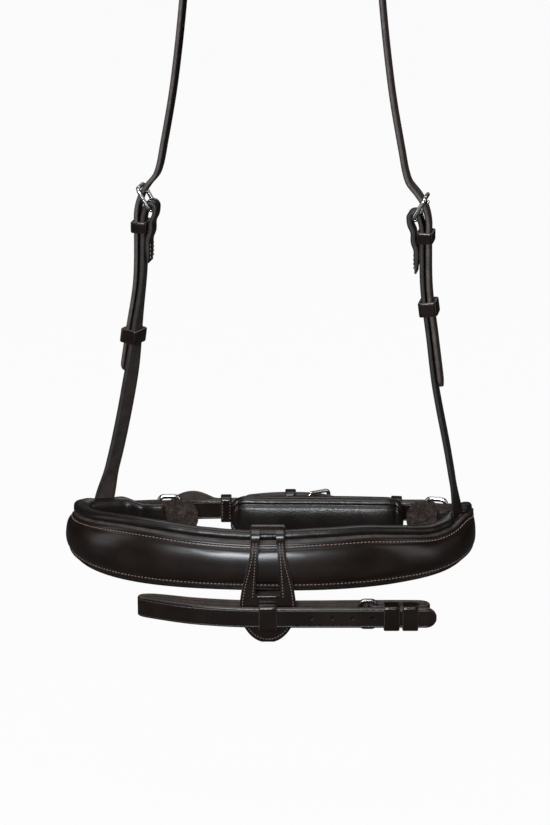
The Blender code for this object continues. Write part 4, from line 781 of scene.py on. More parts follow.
FOLD_LEAD_SHARES = ((-2.5, 1.0), (-1.25, 0.942))
FOLD_RETURN_SHARES = ((-0.846, -0.481), (-1.731, -0.096), (-2.885, -0.038))
FOLD_LANDING_SHARE = 3.942
BILLET_SHARES = ((4.288, -0.808), (2.731, 0.365), (1.731, 1.019), (0.577, 1.462))
BILLET_LANDING_SHARES = (0.769, 2.115)
TONGUE_CROSSING_SHARES = (1.173, 1.25)
STRAP_STEP = 1.1 * MM
ROUTE_STEP = 0.7 * MM
CREASE_IN = 1.5 * MM


def smooth_line(points, step):
    """A smooth curve through the points, read at even steps along it."""
    points = np.asarray(points, float)
    ends = np.concatenate([[2 * points[0] - points[1]], points, [2 * points[-1] - points[-2]]])
    fine = []
    shares = np.linspace(0, 1, 16, endpoint=False)[:, None]
    for i in range(1, len(ends) - 2):
        before, start, end, after = ends[i - 1], ends[i], ends[i + 1], ends[i + 2]
        span = np.linalg.norm(end - start)
        leave = (end - before) / (np.linalg.norm(start - before) + span) * span
        arrive = (after - start) / (np.linalg.norm(after - end) + span) * span
        fine.append(cubic(shares, start, leave, end, arrive))
    fine = np.concatenate(fine + [points[-1:]])
    along = arc_lengths(fine)
    count = max(2, int(round(along[-1] / step)) + 1)
    return read_along(np.linspace(0, along[-1], count), along, fine)


def nearest_along(line, along, place):
    """Arc length of the point of a line that lies nearest to a place."""
    fine = np.arange(0, along[-1], ROUTE_STEP / 4)
    return float(fine[np.argmin(np.linalg.norm(read_along(fine, along, line) - place, axis=1))])


def rounded_tip(along, half_width, tip):
    """Half widths of a strap whose far end is rounded over the length tip."""
    from_end = along[-1] - along
    share = np.clip(1 - from_end / tip, 0, 1)
    return half_width * np.sqrt(np.maximum(1 - share ** 2 * 0.93, 0))


def fold_points(lead, chape_length):
    """Strap coming up outside the heel bar, over it, and down its inner side to the chape's end."""
    points = [(-lead, STACK_OUT)]
    points += [(STACK_OUT * up, STACK_OUT * out) for up, out in FOLD_LEAD_SHARES]
    for angle in np.linspace(math.radians(80), math.radians(-80), 7):
        points.append((FOLD_RADIUS * math.cos(angle), FOLD_RADIUS * math.sin(angle)))
    points += [(STACK_OUT * up, STACK_OUT * out) for up, out in FOLD_RETURN_SHARES]
    landing = (STACK_OUT * FOLD_LANDING_SHARE, chape_length)
    return points + [(-down, STACK_OUT - LAYER_STEP) for down in landing]


def billet_points():
    """Billet coming down inside the far bar, out over the heel bar and along the strap."""
    points = [(STACK_OUT * up, STACK_OUT * out) for up, out in BILLET_SHARES]
    points += [(-STACK_OUT * down, STACK_OUT + LAYER_STEP) for down in BILLET_LANDING_SHARES]
    return points + [(-BILLET_STRAIGHT, STACK_OUT + LAYER_STEP)]


def cheek_point(side, half_x, z):
    return np.array([side * half_x, 0.0, z - HANG_DROP])


def cheek_plane_points(side, pairs):
    """Turn heel-bar places, up and outward, into world points of a cheek buckle."""
    return [cheek_point(side, HEEL_X + out, HEEL_Z + up) for up, out in pairs]


def cheek_turn(side, z):
    """How far a cheek strap has turned about its length at a height: the left one turns as it comes down."""
    down = smooth_share((HEEL_Z - TURN_START_DOWN - HANG_DROP - np.asarray(z, float)) / TURN_DROP)
    return LEFT_STRAP_TURN * down if side < 0 else 0 * down


def cheek_across(side, z):
    """Direction of a cheek strap's width at a height."""
    turn = cheek_turn(side, z)
    return np.stack([np.sin(turn), np.cos(turn), 0 * turn], axis=-1)


def cheek_layer(side, z):
    """Direction from a cheek strap to the layer that lies outside it."""
    turn = cheek_turn(side, z)
    return np.stack([side * np.cos(turn), np.sin(turn), 0 * turn], axis=-1)


def cheek_line():
    """Half coordinates and heights of the cheek straps' middle line above the nosepiece."""
    spread = LOOP_HALF_WIDTH - HEEL_X
    return [(HEEL_X + spread * out, HEEL_Z * up) for out, up in CHEEK_LINE_SHARES]


def cheek_seat(side):
    """Foot and rim of a cheek strap's seat inside the nosepiece leather, with its directions."""
    spread = LEFT_CHEEK_SPREAD if side < 0 else RIGHT_CHEEK_SPREAD
    s = NOSE_CENTRE_S + side * spread
    bottom_z, top_z = nose_edges(side * spread)
    inset = NOSE_LEATHER + CHEEK_SEAT_SLACK + SKIVED_THICK / 2
    place, tangent, outward = loop_plan(s, inset)
    sense = 1 if tangent[1] > 0 else -1
    rim = to_world(place, top_z + SHOULDER_RISE + ROLL_RISE)
    bottom = turn_plan(tangent) * sense
    above = cheek_point(side, *cheek_line()[0])
    slant = np.dot(above - rim, bottom) / (above[2] - rim[2])
    depth_z = (top_z + bottom_z) / 2 - CHEEK_SEAT_DEPTH
    drop = top_z + SHOULDER_RISE + ROLL_RISE - depth_z
    foot, foot_tangent, foot_outward = loop_plan(s - sense * slant * drop, inset)
    low = to_world(foot, depth_z)
    return low, rim, above, bottom, turn_plan(unit(outward + foot_outward))


def tongue_line(reach):
    """Tongue from its eye round the heel bar to its tip on the far bar, up and outward."""
    eye = BUCKLE_WIRE / 2 + GAP + TONGUE_WIRE / 2
    slope = BUCKLE_SLOPE
    along = np.array([math.sin(slope), math.cos(slope)])
    normal = np.array([-math.cos(slope), math.sin(slope)])
    points = []
    for angle in np.linspace(math.radians(-190), math.radians(60), 9):
        points.append(along * eye * math.sin(angle) + normal * eye * math.cos(angle))
    lift = BUCKLE_WIRE / 2 + GAP + TONGUE_WIRE / 2
    points.append(along * reach * 0.5 + normal * lift)
    points.append(along * (reach + BUCKLE_WIRE * 0.4) + normal * lift)
    return points


def tongue_crossing():
    """Place where the tongue goes through the billet, up and outward from the heel bar."""
    return STACK_OUT * TONGUE_CROSSING_SHARES[0], STACK_OUT * TONGUE_CROSSING_SHARES[1]


def rounded_outline(half_x, half_y, corner, steps):
    """Points of a rounded rectangle, anticlockwise: corner centre plus corner times (cos, sin)."""
    points = []
    for quarter, (sx, sy) in enumerate(((1, 1), (-1, 1), (-1, -1), (1, -1))):
        for i in range(steps + 1):
            angle = (quarter + i / steps) * math.pi / 2
            points.append((sx * (half_x - corner) + corner * math.cos(angle),
                           sy * (half_y - corner) + corner * math.sin(angle)))
    return points


def strap_mesh(line, across, half_width, thick=STRAP_THICK, front=1.0):
    """Strap along a line: a rounded rectangle of its width and thickness at every station.

    Corners have a radius of 0.42 times the thickness, as burnished edges do. Each broad face has a
    point 0.6 mm inside either corner, so that it stays flat up to there.
    """
    line = np.asarray(line, float)
    count = len(line)
    tangent = unit(np.gradient(line, axis=0))
    across = np.broadcast_to(across, line.shape)
    across = unit(across - tangent * np.sum(across * tangent, axis=1, keepdims=True))
    normal = np.cross(tangent, across)
    half = np.broadcast_to(np.asarray(thick, float) / 2, (count,))[:, None]
    wide = np.broadcast_to(np.asarray(half_width, float), (count,))[:, None]
    corner = np.minimum(half * 0.84, wide * 0.9)
    flat = np.array(rounded_outline(2.0, 2.0, 1.0, 3))
    centre = np.sign(flat)
    curl = flat - centre
    x = centre[:, 0] * (wide - corner) + corner * curl[:, 0]
    y = centre[:, 1] * (half - corner) + corner * curl[:, 1]
    inner = np.maximum(wide - corner - 0.6 * MM, (wide - corner) * 0.5)
    across_face = [inner, 0 * inner, -inner]
    x = np.concatenate([x[:, :4], *across_face, x[:, 4:12], *across_face[::-1], x[:, 12:]], axis=1)
    y = np.concatenate([y[:, :4], half, half, half, y[:, 4:12], -half, -half, -half, y[:, 12:]], axis=1)
    rings = line[:, None] + across[:, None] * x[..., None] + normal[:, None] * y[..., None]
    return skin(rings, y / half * front, x)


def both_ways_mesh(points, face, across):
    """A closed ring-shaped surface: a grid of points joined to itself both ways."""
    rows, columns = points.shape[:2]
    index = np.arange(rows * columns).reshape(rows, columns)
    right = np.roll(index, -1, axis=1)
    faces = np.stack([index, right, np.roll(right, -1, axis=0), np.roll(index, -1, axis=0)], axis=-1)
    mesh = bpy.data.meshes.new("piece")
    mesh.from_pydata(points.reshape(-1, 3), [], faces.reshape(-1, 4).tolist())
    place = np.stack([np.zeros(rows * columns), np.repeat(across, columns)], axis=1)
    return surfaced(mesh, place, np.repeat(face, columns), math.radians(60))


def keeper_mesh(place, along, across, inner_width, inner_depth, length):
    """Leather loop round a stack: a rounded outline, lifted through a wall section with soft outer edges."""
    half = length / 2
    wall = KEEPER_WALL
    inside = [(-half + 0.25 * MM, 0.0), (0.0, 0.0), (half - 0.25 * MM, 0.0)]
    outside = [(half, 0.3 * MM), (half, wall - 0.55 * MM), (half - 0.3 * MM, wall - 0.16 * MM),
               (half - 0.8 * MM, wall), (half * 0.4, wall)]
    profile = np.array(inside + outside + [(0.0, wall)] + [(-x, lift) for x, lift in outside[::-1]])
    along = unit(along)
    across = unit(np.asarray(across, float) - along * np.dot(across, along))
    deep = np.cross(along, across)
    points = []
    for x, lift in profile:
        flat = np.array(rounded_outline(inner_width / 2 + lift, inner_depth / 2 + lift, wall * 0.6 + lift, 6))
        points.append(place + along * x + across * flat[:, :1] + deep * flat[:, 1:])
    face = np.array([-1, -1, -1, 0, 0, 0.7, 1, 1, 1, 1, 1, 0.7, 0, 0])
    return both_ways_mesh(np.array(points), face, profile[:, 0])


def show_keeper(node, place, along, across, inner_width, inner_depth, length, body):
    """A keeper loop in place of its CAD node."""
    mesh = keeper_mesh(place, along, across, inner_width, inner_depth, length)
    show(node + "_loop", mesh, keeper_leather, body, "bridle_leather", node)


def tube_rings(points, radius, closed, sides=14):
    """Circles along a line, each turned from the last by the least angle."""
    points = np.asarray(points, float)
    if closed:
        tangent = unit(np.roll(points, -1, axis=0) - np.roll(points, 1, axis=0))
    else:
        tangent = unit(np.gradient(points, axis=0))
    normal = unit(np.cross(tangent[0], (0.31, 0.22, 0.92)))
    angles = np.linspace(0, 2 * math.pi, sides, endpoint=False)
    radius = np.broadcast_to(radius, (len(points),))
    rings = []
    for place, ahead, size in zip(points, tangent, radius):
        normal = unit(normal - ahead * np.dot(normal, ahead))
        other = np.cross(ahead, normal)
        rings.append(place + size * (np.cos(angles)[:, None] * normal + np.sin(angles)[:, None] * other))
    return np.array(rings)


def closed_tube(points, radius):
    """A wire bent into a closed plane loop."""
    rings = tube_rings(points, radius, True)
    return both_ways_mesh(rings, np.ones(len(rings)), np.zeros(len(rings)))


def open_tube(points, radius, tip):
    """A wire with a rounded tip: its radius falls as a quarter ellipse over the last tip length."""
    line = smooth_line(points, 0.4 * MM)
    along = arc_lengths(line)
    share = np.clip(1 - (along[-1] - along) / tip, 0, 1)
    size = radius * np.sqrt(1 - 0.92 * share ** 2)
    return skin(tube_rings(line, size, False), np.ones(14))


def cut_out(thing, cutter):
    """Cut a shape out of a piece for good; each point takes its side value from the old surface."""
    old = thing.data
    values = np.empty(len(old.vertices))
    old.attributes["side"].data.foreach_get("value", values)
    faces = [tuple(polygon.vertices) for polygon in old.polygons]
    corners = [vertex.co.copy() for vertex in old.vertices]
    tree = BVHTree.FromPolygons(corners, faces)
    boolean = thing.modifiers.new("cut", "BOOLEAN")
    boolean.object = cutter
    boolean.solver = "EXACT"
    bpy.context.view_layer.update()
    solid = bpy.data.meshes.new_from_object(thing.evaluated_get(bpy.context.evaluated_depsgraph_get()))
    thing.modifiers.clear()
    thing.data = solid
    solid.name = old.name
    if "side" in solid.attributes:
        solid.attributes.remove(solid.attributes["side"])
    sides = []
    for vertex in solid.vertices:
        spot, normal, face, reach = tree.find_nearest(vertex.co)
        shares = poly_3d_calc([corners[i] for i in faces[face]], spot)
        sides.append(sum(share * values[i] for share, i in zip(shares, faces[face])))
    solid.attributes.new("side", "FLOAT", "POINT").data.foreach_set("value", sides)
    solid.set_sharp_from_angle(angle=math.radians(50))
    tool = cutter.data
    bpy.data.objects.remove(cutter)
    bpy.data.meshes.remove(tool)
    bpy.data.meshes.remove(old)


def punched(thing, holes):
    """Cut holes through a piece: each is a place, a direction, a width and a length along the strap."""
    tool = bmesh.new()
    for place, direction, run, width, length in holes:
        run = unit(np.asarray(run) - direction * np.dot(run, direction))
        side = np.cross(direction, run)
        angles = np.linspace(0, 2 * math.pi, 24, endpoint=False)
        flat = (np.cos(angles)[:, None] * run * width / 2 + np.sin(angles)[:, None] * side * width / 2
                + np.sign(np.cos(angles))[:, None] * run * (length - width) / 2)
        near = [tool.verts.new(Vector(place + point + direction * STRAP_THICK)) for point in flat]
        far = [tool.verts.new(Vector(place + point - direction * STRAP_THICK)) for point in flat]
        for i in range(24):
            tool.faces.new((near[i], near[(i + 1) % 24], far[(i + 1) % 24], far[i]))
        tool.faces.new(near[::-1])
        tool.faces.new(far)
    bmesh.ops.recalc_face_normals(tool, faces=tool.faces)
    data = bpy.data.meshes.new(thing.name + "_punch")
    tool.to_mesh(data)
    tool.free()
    cutter = bpy.data.objects.new(data.name, data)
    scene.collection.objects.link(cutter)
    cut_out(thing, cutter)


def steel(name, colour, rough):
    """Polished cast metal with faint wear."""
    bench = Bench(name)
    wear = bench.noise(bench.place(), 320.0, 3.0)
    tone = bench.mix(wear, shade_of(colour, 0.8), colour)
    return bench.principled(tone, wear * 0.12 + rough, bench.bump(wear, 0.04 * MM), metallic=1.0)


CHEEK_FLESH_COLOUR = (0.026, 0.018, 0.0145)
CHEEK_EDGE_COLOUR = (0.020, 0.0155, 0.0135)
strap_leather = leather("strap_bridle_leather", LEATHER_COLOUR, FLESH_COLOUR, EDGE_COLOUR, 0.22,
                        STRAP_WIDTH / 2 - CREASE_IN)
keeper_leather = leather("keeper_bridle_leather", LEATHER_COLOUR, FLESH_COLOUR, EDGE_COLOUR, 0.15)
cheek_leather = leather("cheek_strap_bridle_leather", LEATHER_COLOUR, CHEEK_FLESH_COLOUR,
                        CHEEK_EDGE_COLOUR, 0.26, STRAP_WIDTH / 2 - CREASE_IN)
bright_steel = steel("polished_steel", (0.70, 0.68, 0.65), 0.16)
dark_steel = steel("dark_polished_steel", (0.24, 0.23, 0.23), 0.2)


def make_buckle(prefix, heel, up, outward, across, slope, reach, material, slot, frame_body, tongue_body):
    """Buckle frame: a rounded rectangle of wire. Tongue: a wire from its eye on the heel bar."""
    heel, up, outward, across = (np.asarray(v, float) for v in (heel, up, outward, across))
    along = up * math.sin(slope) + outward * math.cos(slope)
    outline = rounded_outline(reach / 2, (BUCKLE_INNER_WIDTH + BUCKLE_WIRE) / 2, BUCKLE_WIRE, 8)
    points = [heel + along * (reach / 2 + x) + across * y for x, y in outline]
    steady = []
    for i, point in enumerate(points):
        following = points[(i + 1) % len(points)]
        reach = np.linalg.norm(following - point)
        steps = max(int(reach / (1.2 * MM)), 1)
        steady += [point + (following - point) * k / steps for k in range(steps)]
    frame_name = prefix + "_buckle_frame"
    show(frame_name + "_wire", closed_tube(steady, BUCKLE_WIRE / 2), material, frame_body, slot,
         frame_name)
    normal = outward * math.sin(slope) - up * math.cos(slope)
    flat_along = np.array([math.sin(BUCKLE_SLOPE), math.cos(BUCKLE_SLOPE)])
    flat_normal = np.array([-math.cos(BUCKLE_SLOPE), math.sin(BUCKLE_SLOPE)])
    line = [heel + along * float(np.dot(point, flat_along)) + normal * float(np.dot(point, flat_normal))
            for point in tongue_line(reach)]
    tongue_name = prefix + "_buckle_tongue"
    show(tongue_name + "_wire", open_tube(line, TONGUE_WIRE / 2, 1.6 * MM), material, tongue_body, slot,
         tongue_name)


for side, word in ((-1, "left"), (1, "right")):
    low, rim, above, bottom, outward = cheek_seat(side)
    points = [low, (low + rim) / 2, rim]
    points += [cheek_point(side, x, z) for x, z in cheek_line()]
    points += cheek_plane_points(side, fold_points(CHEEK_FOLD_LEAD, CHEEK_CHAPE_LENGTH))
    line = smooth_line(points, STRAP_STEP)
    rise = (line[:, 2] - rim[2] + ROLL_RISE) / (above[2] - rim[2]) / SEAT_TWIST_SHARE
    blend = smooth_share(rise)[:, None]
    across = unit((1 - blend) * bottom + blend * cheek_across(side, line[:, 2]))
    skived = smooth_share((line[:, 2] - rim[2]) / (above[2] - rim[2]) / SEAT_TWIST_SHARE)
    from_end = arc_lengths(line)[-1] - arc_lengths(line)
    thick = SKIVED_THICK + (STRAP_THICK - SKIVED_THICK) * skived
    thick = thick * (1 - 0.6 * smooth_share(1 - from_end / (9 * MM)))
    strap = show(word + "_cheek_strap_leather", strap_mesh(line, across, STRAP_WIDTH / 2, thick, -side),
                 cheek_leather, "noseband", "bridle_leather", word + "_cheek_strap")
    heel = cheek_point(side, HEEL_X, HEEL_Z)
    upright = np.array([0.0, 0.0, 1.0])
    punched(strap, [(heel + upright * FOLD_RADIUS, upright, (1, 0, 0), TONGUE_SLOT, FOLD_RADIUS * 4)])
    make_buckle(word + "_cheek", heel, (0, 0, 1), (side, 0, 0), (0, 1, 0), BUCKLE_SLOPE, BUCKLE_REACH,
                bright_steel, "bright_steel", word + "_buckle", word + "_tongue")
    stack = STACK_OUT + LAYER_STEP / 2
    place = cheek_point(side, HEEL_X + stack, HEEL_Z - FIXED_KEEPER_DOWN)
    name = word + "_cheek_fixed_keeper"
    show_keeper(name, place, (0, 0, 1), (0, 1, 0), STRAP_WIDTH + PLAY, KEEPER_DEPTH, KEEPER_WIDTH,
                "noseband")
    z = HEEL_Z - (LEFT_RUNNING_KEEPER_DOWN if side < 0 else RIGHT_RUNNING_KEEPER_DOWN)
    start, end = cheek_line()[2:]
    x = start[0] + (end[0] - start[0]) * (z - start[1]) / (end[1] - start[1])
    place = cheek_point(side, x, z) + cheek_layer(side, z - HANG_DROP) * LAYER_STEP / 2
    slope = cheek_point(side, end[0], end[1]) - cheek_point(side, start[0], start[1])
    name = word + "_cheek_running_keeper"
    show_keeper(name, place, slope, cheek_across(side, z - HANG_DROP), STRAP_WIDTH + PLAY,
                KEEPER_DEPTH + 2 * PLAY, RUNNING_KEEPER_WIDTH, word + "_running_keeper")
    runs = []
    inner = STACK_OUT - LAYER_STEP - STRAP_THICK / 2
    for edge in (-1, 1):
        ups = np.linspace(-22 * MM, 2 * MM - CHEEK_CHAPE_LENGTH, 30)
        row = np.array([cheek_point(side, HEEL_X + inner, HEEL_Z + up) for up in ups])
        row[:, 1] += edge * (STRAP_WIDTH / 2 - 1.9 * MM)
        runs.append(stitch_row(row, np.tile([-float(side), 0, 0], (30, 1)), 2.4 * MM))
    places, run, outward = joined(runs)
    name = word + "_cheek_chape_stitches"
    show(name, stitch_mesh(places, run, outward, 1.7 * MM, THREAD_WIDTH), thread, "noseband",
         "bridle_leather")


# Head strap: one long half-inch strap over the poll. Each end is a billet with a row of punched
# holes, which comes down inside the buckle's far bar, over its heel bar and through both keepers.
CROWN_HALF_WIDTH = 55.0 * MM
POLL_SEAT_LENGTH = 16.0 * MM
CROWN_SHARES = ((0.42, 0.0, 0.0099), (0.76, 0.0, 0.065), (0.96, 0.0, 0.1606), (1.04, 0.0, 0.3059),
                (1.0, 0.185, 0.478), (1.0, 0.426, 0.6922), (1.0, 0.689, 0.8451))


def head_strap_line():
    """Line of the head strap: a level seat over the poll, and each side down to its billet's tip."""
    half = [(POLL_SEAT_LENGTH / 2 + GAP, STRAP_THICK / 2)]
    for crown, wider, down in CROWN_SHARES:
        x = CROWN_HALF_WIDTH * crown + (HEEL_X - CROWN_HALF_WIDTH) * wider
        half.append((x, (HEEL_Z - HANG_DROP) * down))
    side = [np.array([x, 0.0, z]) for x, z in half]
    side += cheek_plane_points(1, billet_points()[:-1])
    for x, z in cheek_line()[:0:-1]:
        side.append(cheek_point(1, x + LAYER_STEP, z))
    level = np.array([[x, 0.0, STRAP_THICK / 2] for x in np.linspace(0, POLL_SEAT_LENGTH / 2, 8)])
    right = np.concatenate([level, smooth_line(side, STRAP_STEP)])
    left = right[::-1] * np.array([-1, 1, 1])
    left = left + LAYER_STEP * (cheek_layer(-1, left[:, 2]) - np.array([-1, 0, 0]))
    return np.concatenate([left[:-1], right])


line = head_strap_line()
along = arc_lengths(line)
half_width = rounded_tip(along, STRAP_WIDTH / 2, STRAP_WIDTH / 2)
half_width = np.minimum(half_width, half_width[::-1])
across = np.where(line[:, :1] < 0, cheek_across(-1, line[:, 2]), cheek_across(1, line[:, 2]))
head = show("head_strap_leather", strap_mesh(line, across, half_width, STRAP_THICK, -1.0), strap_leather,
            "noseband", "bridle_leather", "head_strap")
tangent = unit(np.gradient(line, axis=0))
cross = tongue_crossing()
holes = []
for sign in (-1, 1):
    nearest = nearest_along(line, along, cheek_point(sign, HEEL_X + cross[1], HEEL_Z + cross[0]))
    for i in range(-2, HOLE_COUNT - 2):
        at = nearest - sign * i * HOLE_PITCH
        spot = read_along(at, along, line)
        direction = unit(read_along(at, along, tangent))
        normal = unit(np.cross(direction, cheek_across(sign, spot[2])))
        wide, long = (TONGUE_SLOT, TONGUE_WIRE * 3.6) if i == 0 else (HOLE_DIAMETER, HOLE_DIAMETER)
        holes.append((spot, normal, direction, wide, long))
punched(head, holes)


# Rings, ring chapes and skin guards at the two ends of the nosepiece. Each ring is a rounded oblong
# of polished steel held by a short folded strap; the guard is a thin tab of leather inside it,
# flesh side towards the camera, that keeps the ring off the skin.
GUARD_HEIGHT = 23.0 * MM
GUARD_CORNER = 9.0 * MM
GUARD_Z = 1.0 * MM
RING_WIRE = 3.2 * MM
RING_LENGTH = 12.6 * MM
RING_HEIGHT = 17.4 * MM
RING_CORNER = 3.0 * MM
RING_PAST_END = 10.4 * MM
CHAPE_THICK = 1.6 * MM
CHAPE_HEIGHT = 11.2 * MM
CRANK_Z = 4.0 * MM
CRANK_INNER_INSET = 3.4 * MM
CRANK_OUTER_INSET = -0.2 * MM


def ring_centre_s(side):
    return NOSE_CENTRE_S + side * (NOSE_HALF_LENGTH + RING_PAST_END)


def ring_frame(side):
    """Place and axes of a ring: along the loop away from the nosepiece, up, and outward."""
    place, tangent, outward = loop_plan(ring_centre_s(side), (CRANK_INNER_INSET + CRANK_OUTER_INSET) / 2)
    return to_world(place, CRANK_Z), turn_plan(tangent) * side, turn_plan(outward)


def suede():
    """Napped flesh side: mottled warm brown with short tufts in all directions."""
    bench = Bench("flesh_side_suede")
    place = bench.place()
    tufts = bench.noise(place, 620.0, 4.0, 0.75)
    clouds = bench.noise(place, 190.0, 3.0, 0.65)
    shade = tufts * 0.6 + clouds * 0.4
    stops = ((0.36, (0.010, 0.0075, 0.0065)), (0.52, (0.028, 0.0195, 0.016)), (0.66, (0.085, 0.061, 0.050)))
    colour = bench.node("ShaderNodeValToRGB", {"stops": stops}, {"Fac": shade})["Color"]
    return bench.principled(colour, 0.95, bench.bump(shade, 0.5 * MM), 1.3)


suede_leather = suede()

for side, word in ((-1, "left"), (1, "right")):
    body = word + "_ring_body"
    centre, away, outward = ring_frame(side)
    up = np.array([0.0, 0.0, 1.0])
    outline = np.array(rounded_outline(RING_LENGTH / 2, RING_HEIGHT / 2, RING_CORNER, 6))
    outline = round_line(outline, 72)
    points = centre + away * outline[:, :1] + up * outline[:, 1:]
    show(word + "_ring_wire", closed_tube(points, RING_WIRE / 2), bright_steel, body, "bright_steel",
         word + "_ring")
    bar = centre - away * RING_LENGTH / 2
    radius = (RING_WIRE + CHAPE_THICK) / 2 + GAP
    path = [bar + away * radius * math.cos(a) + outward * radius * math.sin(a)
            for a in np.linspace(-math.pi * 0.5, math.pi * 0.5, 9)]
    reach = RING_PAST_END - RING_LENGTH / 2
    for share in (0.05, 0.4, 0.7, 1.0):
        step = NOSE_HALF_LENGTH + reach / 2 - share * (CHAPE_LENGTH + reach / 2)
        place, tangent, out = loop_plan(NOSE_CENTRE_S + side * step, -CHAPE_THICK / 2 - GAP - PLAY)
        path.append(to_world(place, CRANK_Z))
    name = word + "_ring_chape"
    show(name + "_strap", strap_mesh(smooth_line(path, STRAP_STEP), (0, 0, 1), CHAPE_HEIGHT / 2,
                                     CHAPE_THICK, -side), strap_leather, "noseband", "bridle_leather",
         name)
    name = word + "_skin_guard"
    along = np.linspace(-GUARD_OVERLAP, GUARD_LENGTH - GUARD_OVERLAP, 60)
    half = rounded_tip(along + GUARD_OVERLAP, GUARD_HEIGHT / 2, GUARD_CORNER)
    place, tangent, out = loop_plan(NOSE_CENTRE_S + side * (NOSE_HALF_LENGTH + along),
                                    GUARD_INSET + GUARD_THICK / 2)
    line = to_world(place, GUARD_Z)
    show(name + "_tab", strap_mesh(line, (0, 0, 1), half, GUARD_THICK), suede_leather, "noseband",
         "flesh_side_leather", name)


# Crank strap: one half-inch strap that runs from its own buckle behind the chin, doubles back
# through both rings and comes home as a billet, so that pulling it tightens both sides at once.
CRANK_HEEL_U = 24.0 * MM
CRANK_HEEL_OUT = 3.2 * MM
CRANK_TAIL_LENGTH = 44.0 * MM
CRANK_RISE = 4.6 * MM
CRANK_RISE_AWAY = -6.0 * MM
CRANK_RISE_LENGTH = 31.0 * MM
CRANK_CHAPE_LENGTH = 24.0 * MM
CRANK_FOLD_LEAD = 20.0 * MM
CRANK_LEAVE_SHARES = ((2.154, 0.733), (3.077, 0.267), (3.615, 0.0))
CRANK_BAR_SHARES = (1.692, 1.077, 1.231)
CRANK_MIDDLE_SHARE = 1.538
CRANK_RETURN_SHARE = 2.923
CRANK_TAIL_SHARES = (2.154, 0.533, 0.533)
PAD_U = 29.5 * MM
PAD_LENGTH = 113.0 * MM
PAD_HEIGHT = 28.5 * MM
PAD_CROWN = 9.0 * MM
PAD_CORNER = 11.0 * MM
BACKING_THICK = 2.0 * MM
BACKING_MARGIN = 1.2 * MM
PAD_LOOP_AWAY = 5.5 * MM
PAD_Z = 1.4 * MM


def rear_s(u):
    """Arc length of a place behind the chin, u to the right of the loop's middle."""
    return LOOP_LENGTH / 2 - u


def rear_frame(u, inset, z=CRANK_Z):
    """World place behind the chin and its directions: to the right along the loop, and outward."""
    place, tangent, outward = loop_plan(rear_s(u), inset)
    return to_world(place, z), -turn_plan(tangent), turn_plan(outward)


def crank_line():
    """Line of the crank strap, read as arc length round the loop and inset, then put in the frame."""
    heel_s = rear_s(CRANK_HEEL_U)
    heel_inset = -CRANK_HEEL_OUT
    radius = RING_WIRE / 2 + GAP + PLAY + STRAP_THICK / 2
    middle = (CRANK_INNER_INSET + CRANK_OUTER_INSET) / 2
    left_bar = ring_centre_s(-1) + LOOP_LENGTH - RING_LENGTH / 2
    right_bar = ring_centre_s(1) + RING_LENGTH / 2
    fold = fold_points(CRANK_FOLD_LEAD, CRANK_CHAPE_LENGTH)
    pairs = [(heel_s - up, heel_inset - out) for up, out in fold[::-1]]
    first, second, third = CRANK_LEAVE_SHARES
    from_left, inner_bar, from_right = CRANK_BAR_SHARES
    tail, tail_drop, tail_end = CRANK_TAIL_SHARES
    pairs += [(heel_s + STRAP_WIDTH * first[0], heel_inset - STACK_OUT + STRAP_THICK * first[1]),
              (heel_s + STRAP_WIDTH * second[0], CRANK_OUTER_INSET - STRAP_THICK * second[1]),
              (heel_s + STRAP_WIDTH * third[0], CRANK_OUTER_INSET - STRAP_THICK * third[1]),
              (left_bar - STRAP_WIDTH * from_left, CRANK_OUTER_INSET)]
    pairs += [(left_bar + radius * math.cos(a), middle + radius * math.sin(a))
              for a in np.linspace(-math.pi / 2, math.pi / 2, 7)]
    pairs += [(left_bar - STRAP_WIDTH * inner_bar, CRANK_INNER_INSET),
              (heel_s + STRAP_WIDTH * CRANK_MIDDLE_SHARE, CRANK_INNER_INSET),
              (heel_s - STRAP_WIDTH * CRANK_MIDDLE_SHARE, CRANK_INNER_INSET),
              (right_bar + STRAP_WIDTH * inner_bar, CRANK_INNER_INSET)]
    pairs += [(right_bar - radius * math.cos(a), middle + radius * math.sin(a))
              for a in np.linspace(math.pi / 2, -math.pi / 2, 7)]
    pairs += [(right_bar + STRAP_WIDTH * from_right, CRANK_OUTER_INSET),
              (heel_s - STRAP_WIDTH * CRANK_RETURN_SHARE, CRANK_OUTER_INSET)]
    pairs += [(heel_s - up, heel_inset - out) for up, out in billet_points()]
    pairs += [(heel_s + STRAP_WIDTH * tail, heel_inset - STACK_OUT - LAYER_STEP + STRAP_THICK * tail_drop),
              (heel_s + CRANK_TAIL_LENGTH, CRANK_OUTER_INSET - LAYER_STEP - STRAP_THICK * tail_end)]
    flat = smooth_line(np.array(pairs), STRAP_STEP)
    place, tangent, outward = loop_plan(flat[:, 0], flat[:, 1])
    outer = smooth_share((middle - flat[:, 1]) / (0.6 * MM) + 0.5)
    reach = (left_bar - CRANK_RISE_AWAY - flat[:, 0]) / CRANK_RISE_LENGTH
    lift = CRANK_RISE * np.sin(math.pi * np.clip(reach, 0, 1)) ** 2 * outer
    return to_world(place, CRANK_Z + lift)


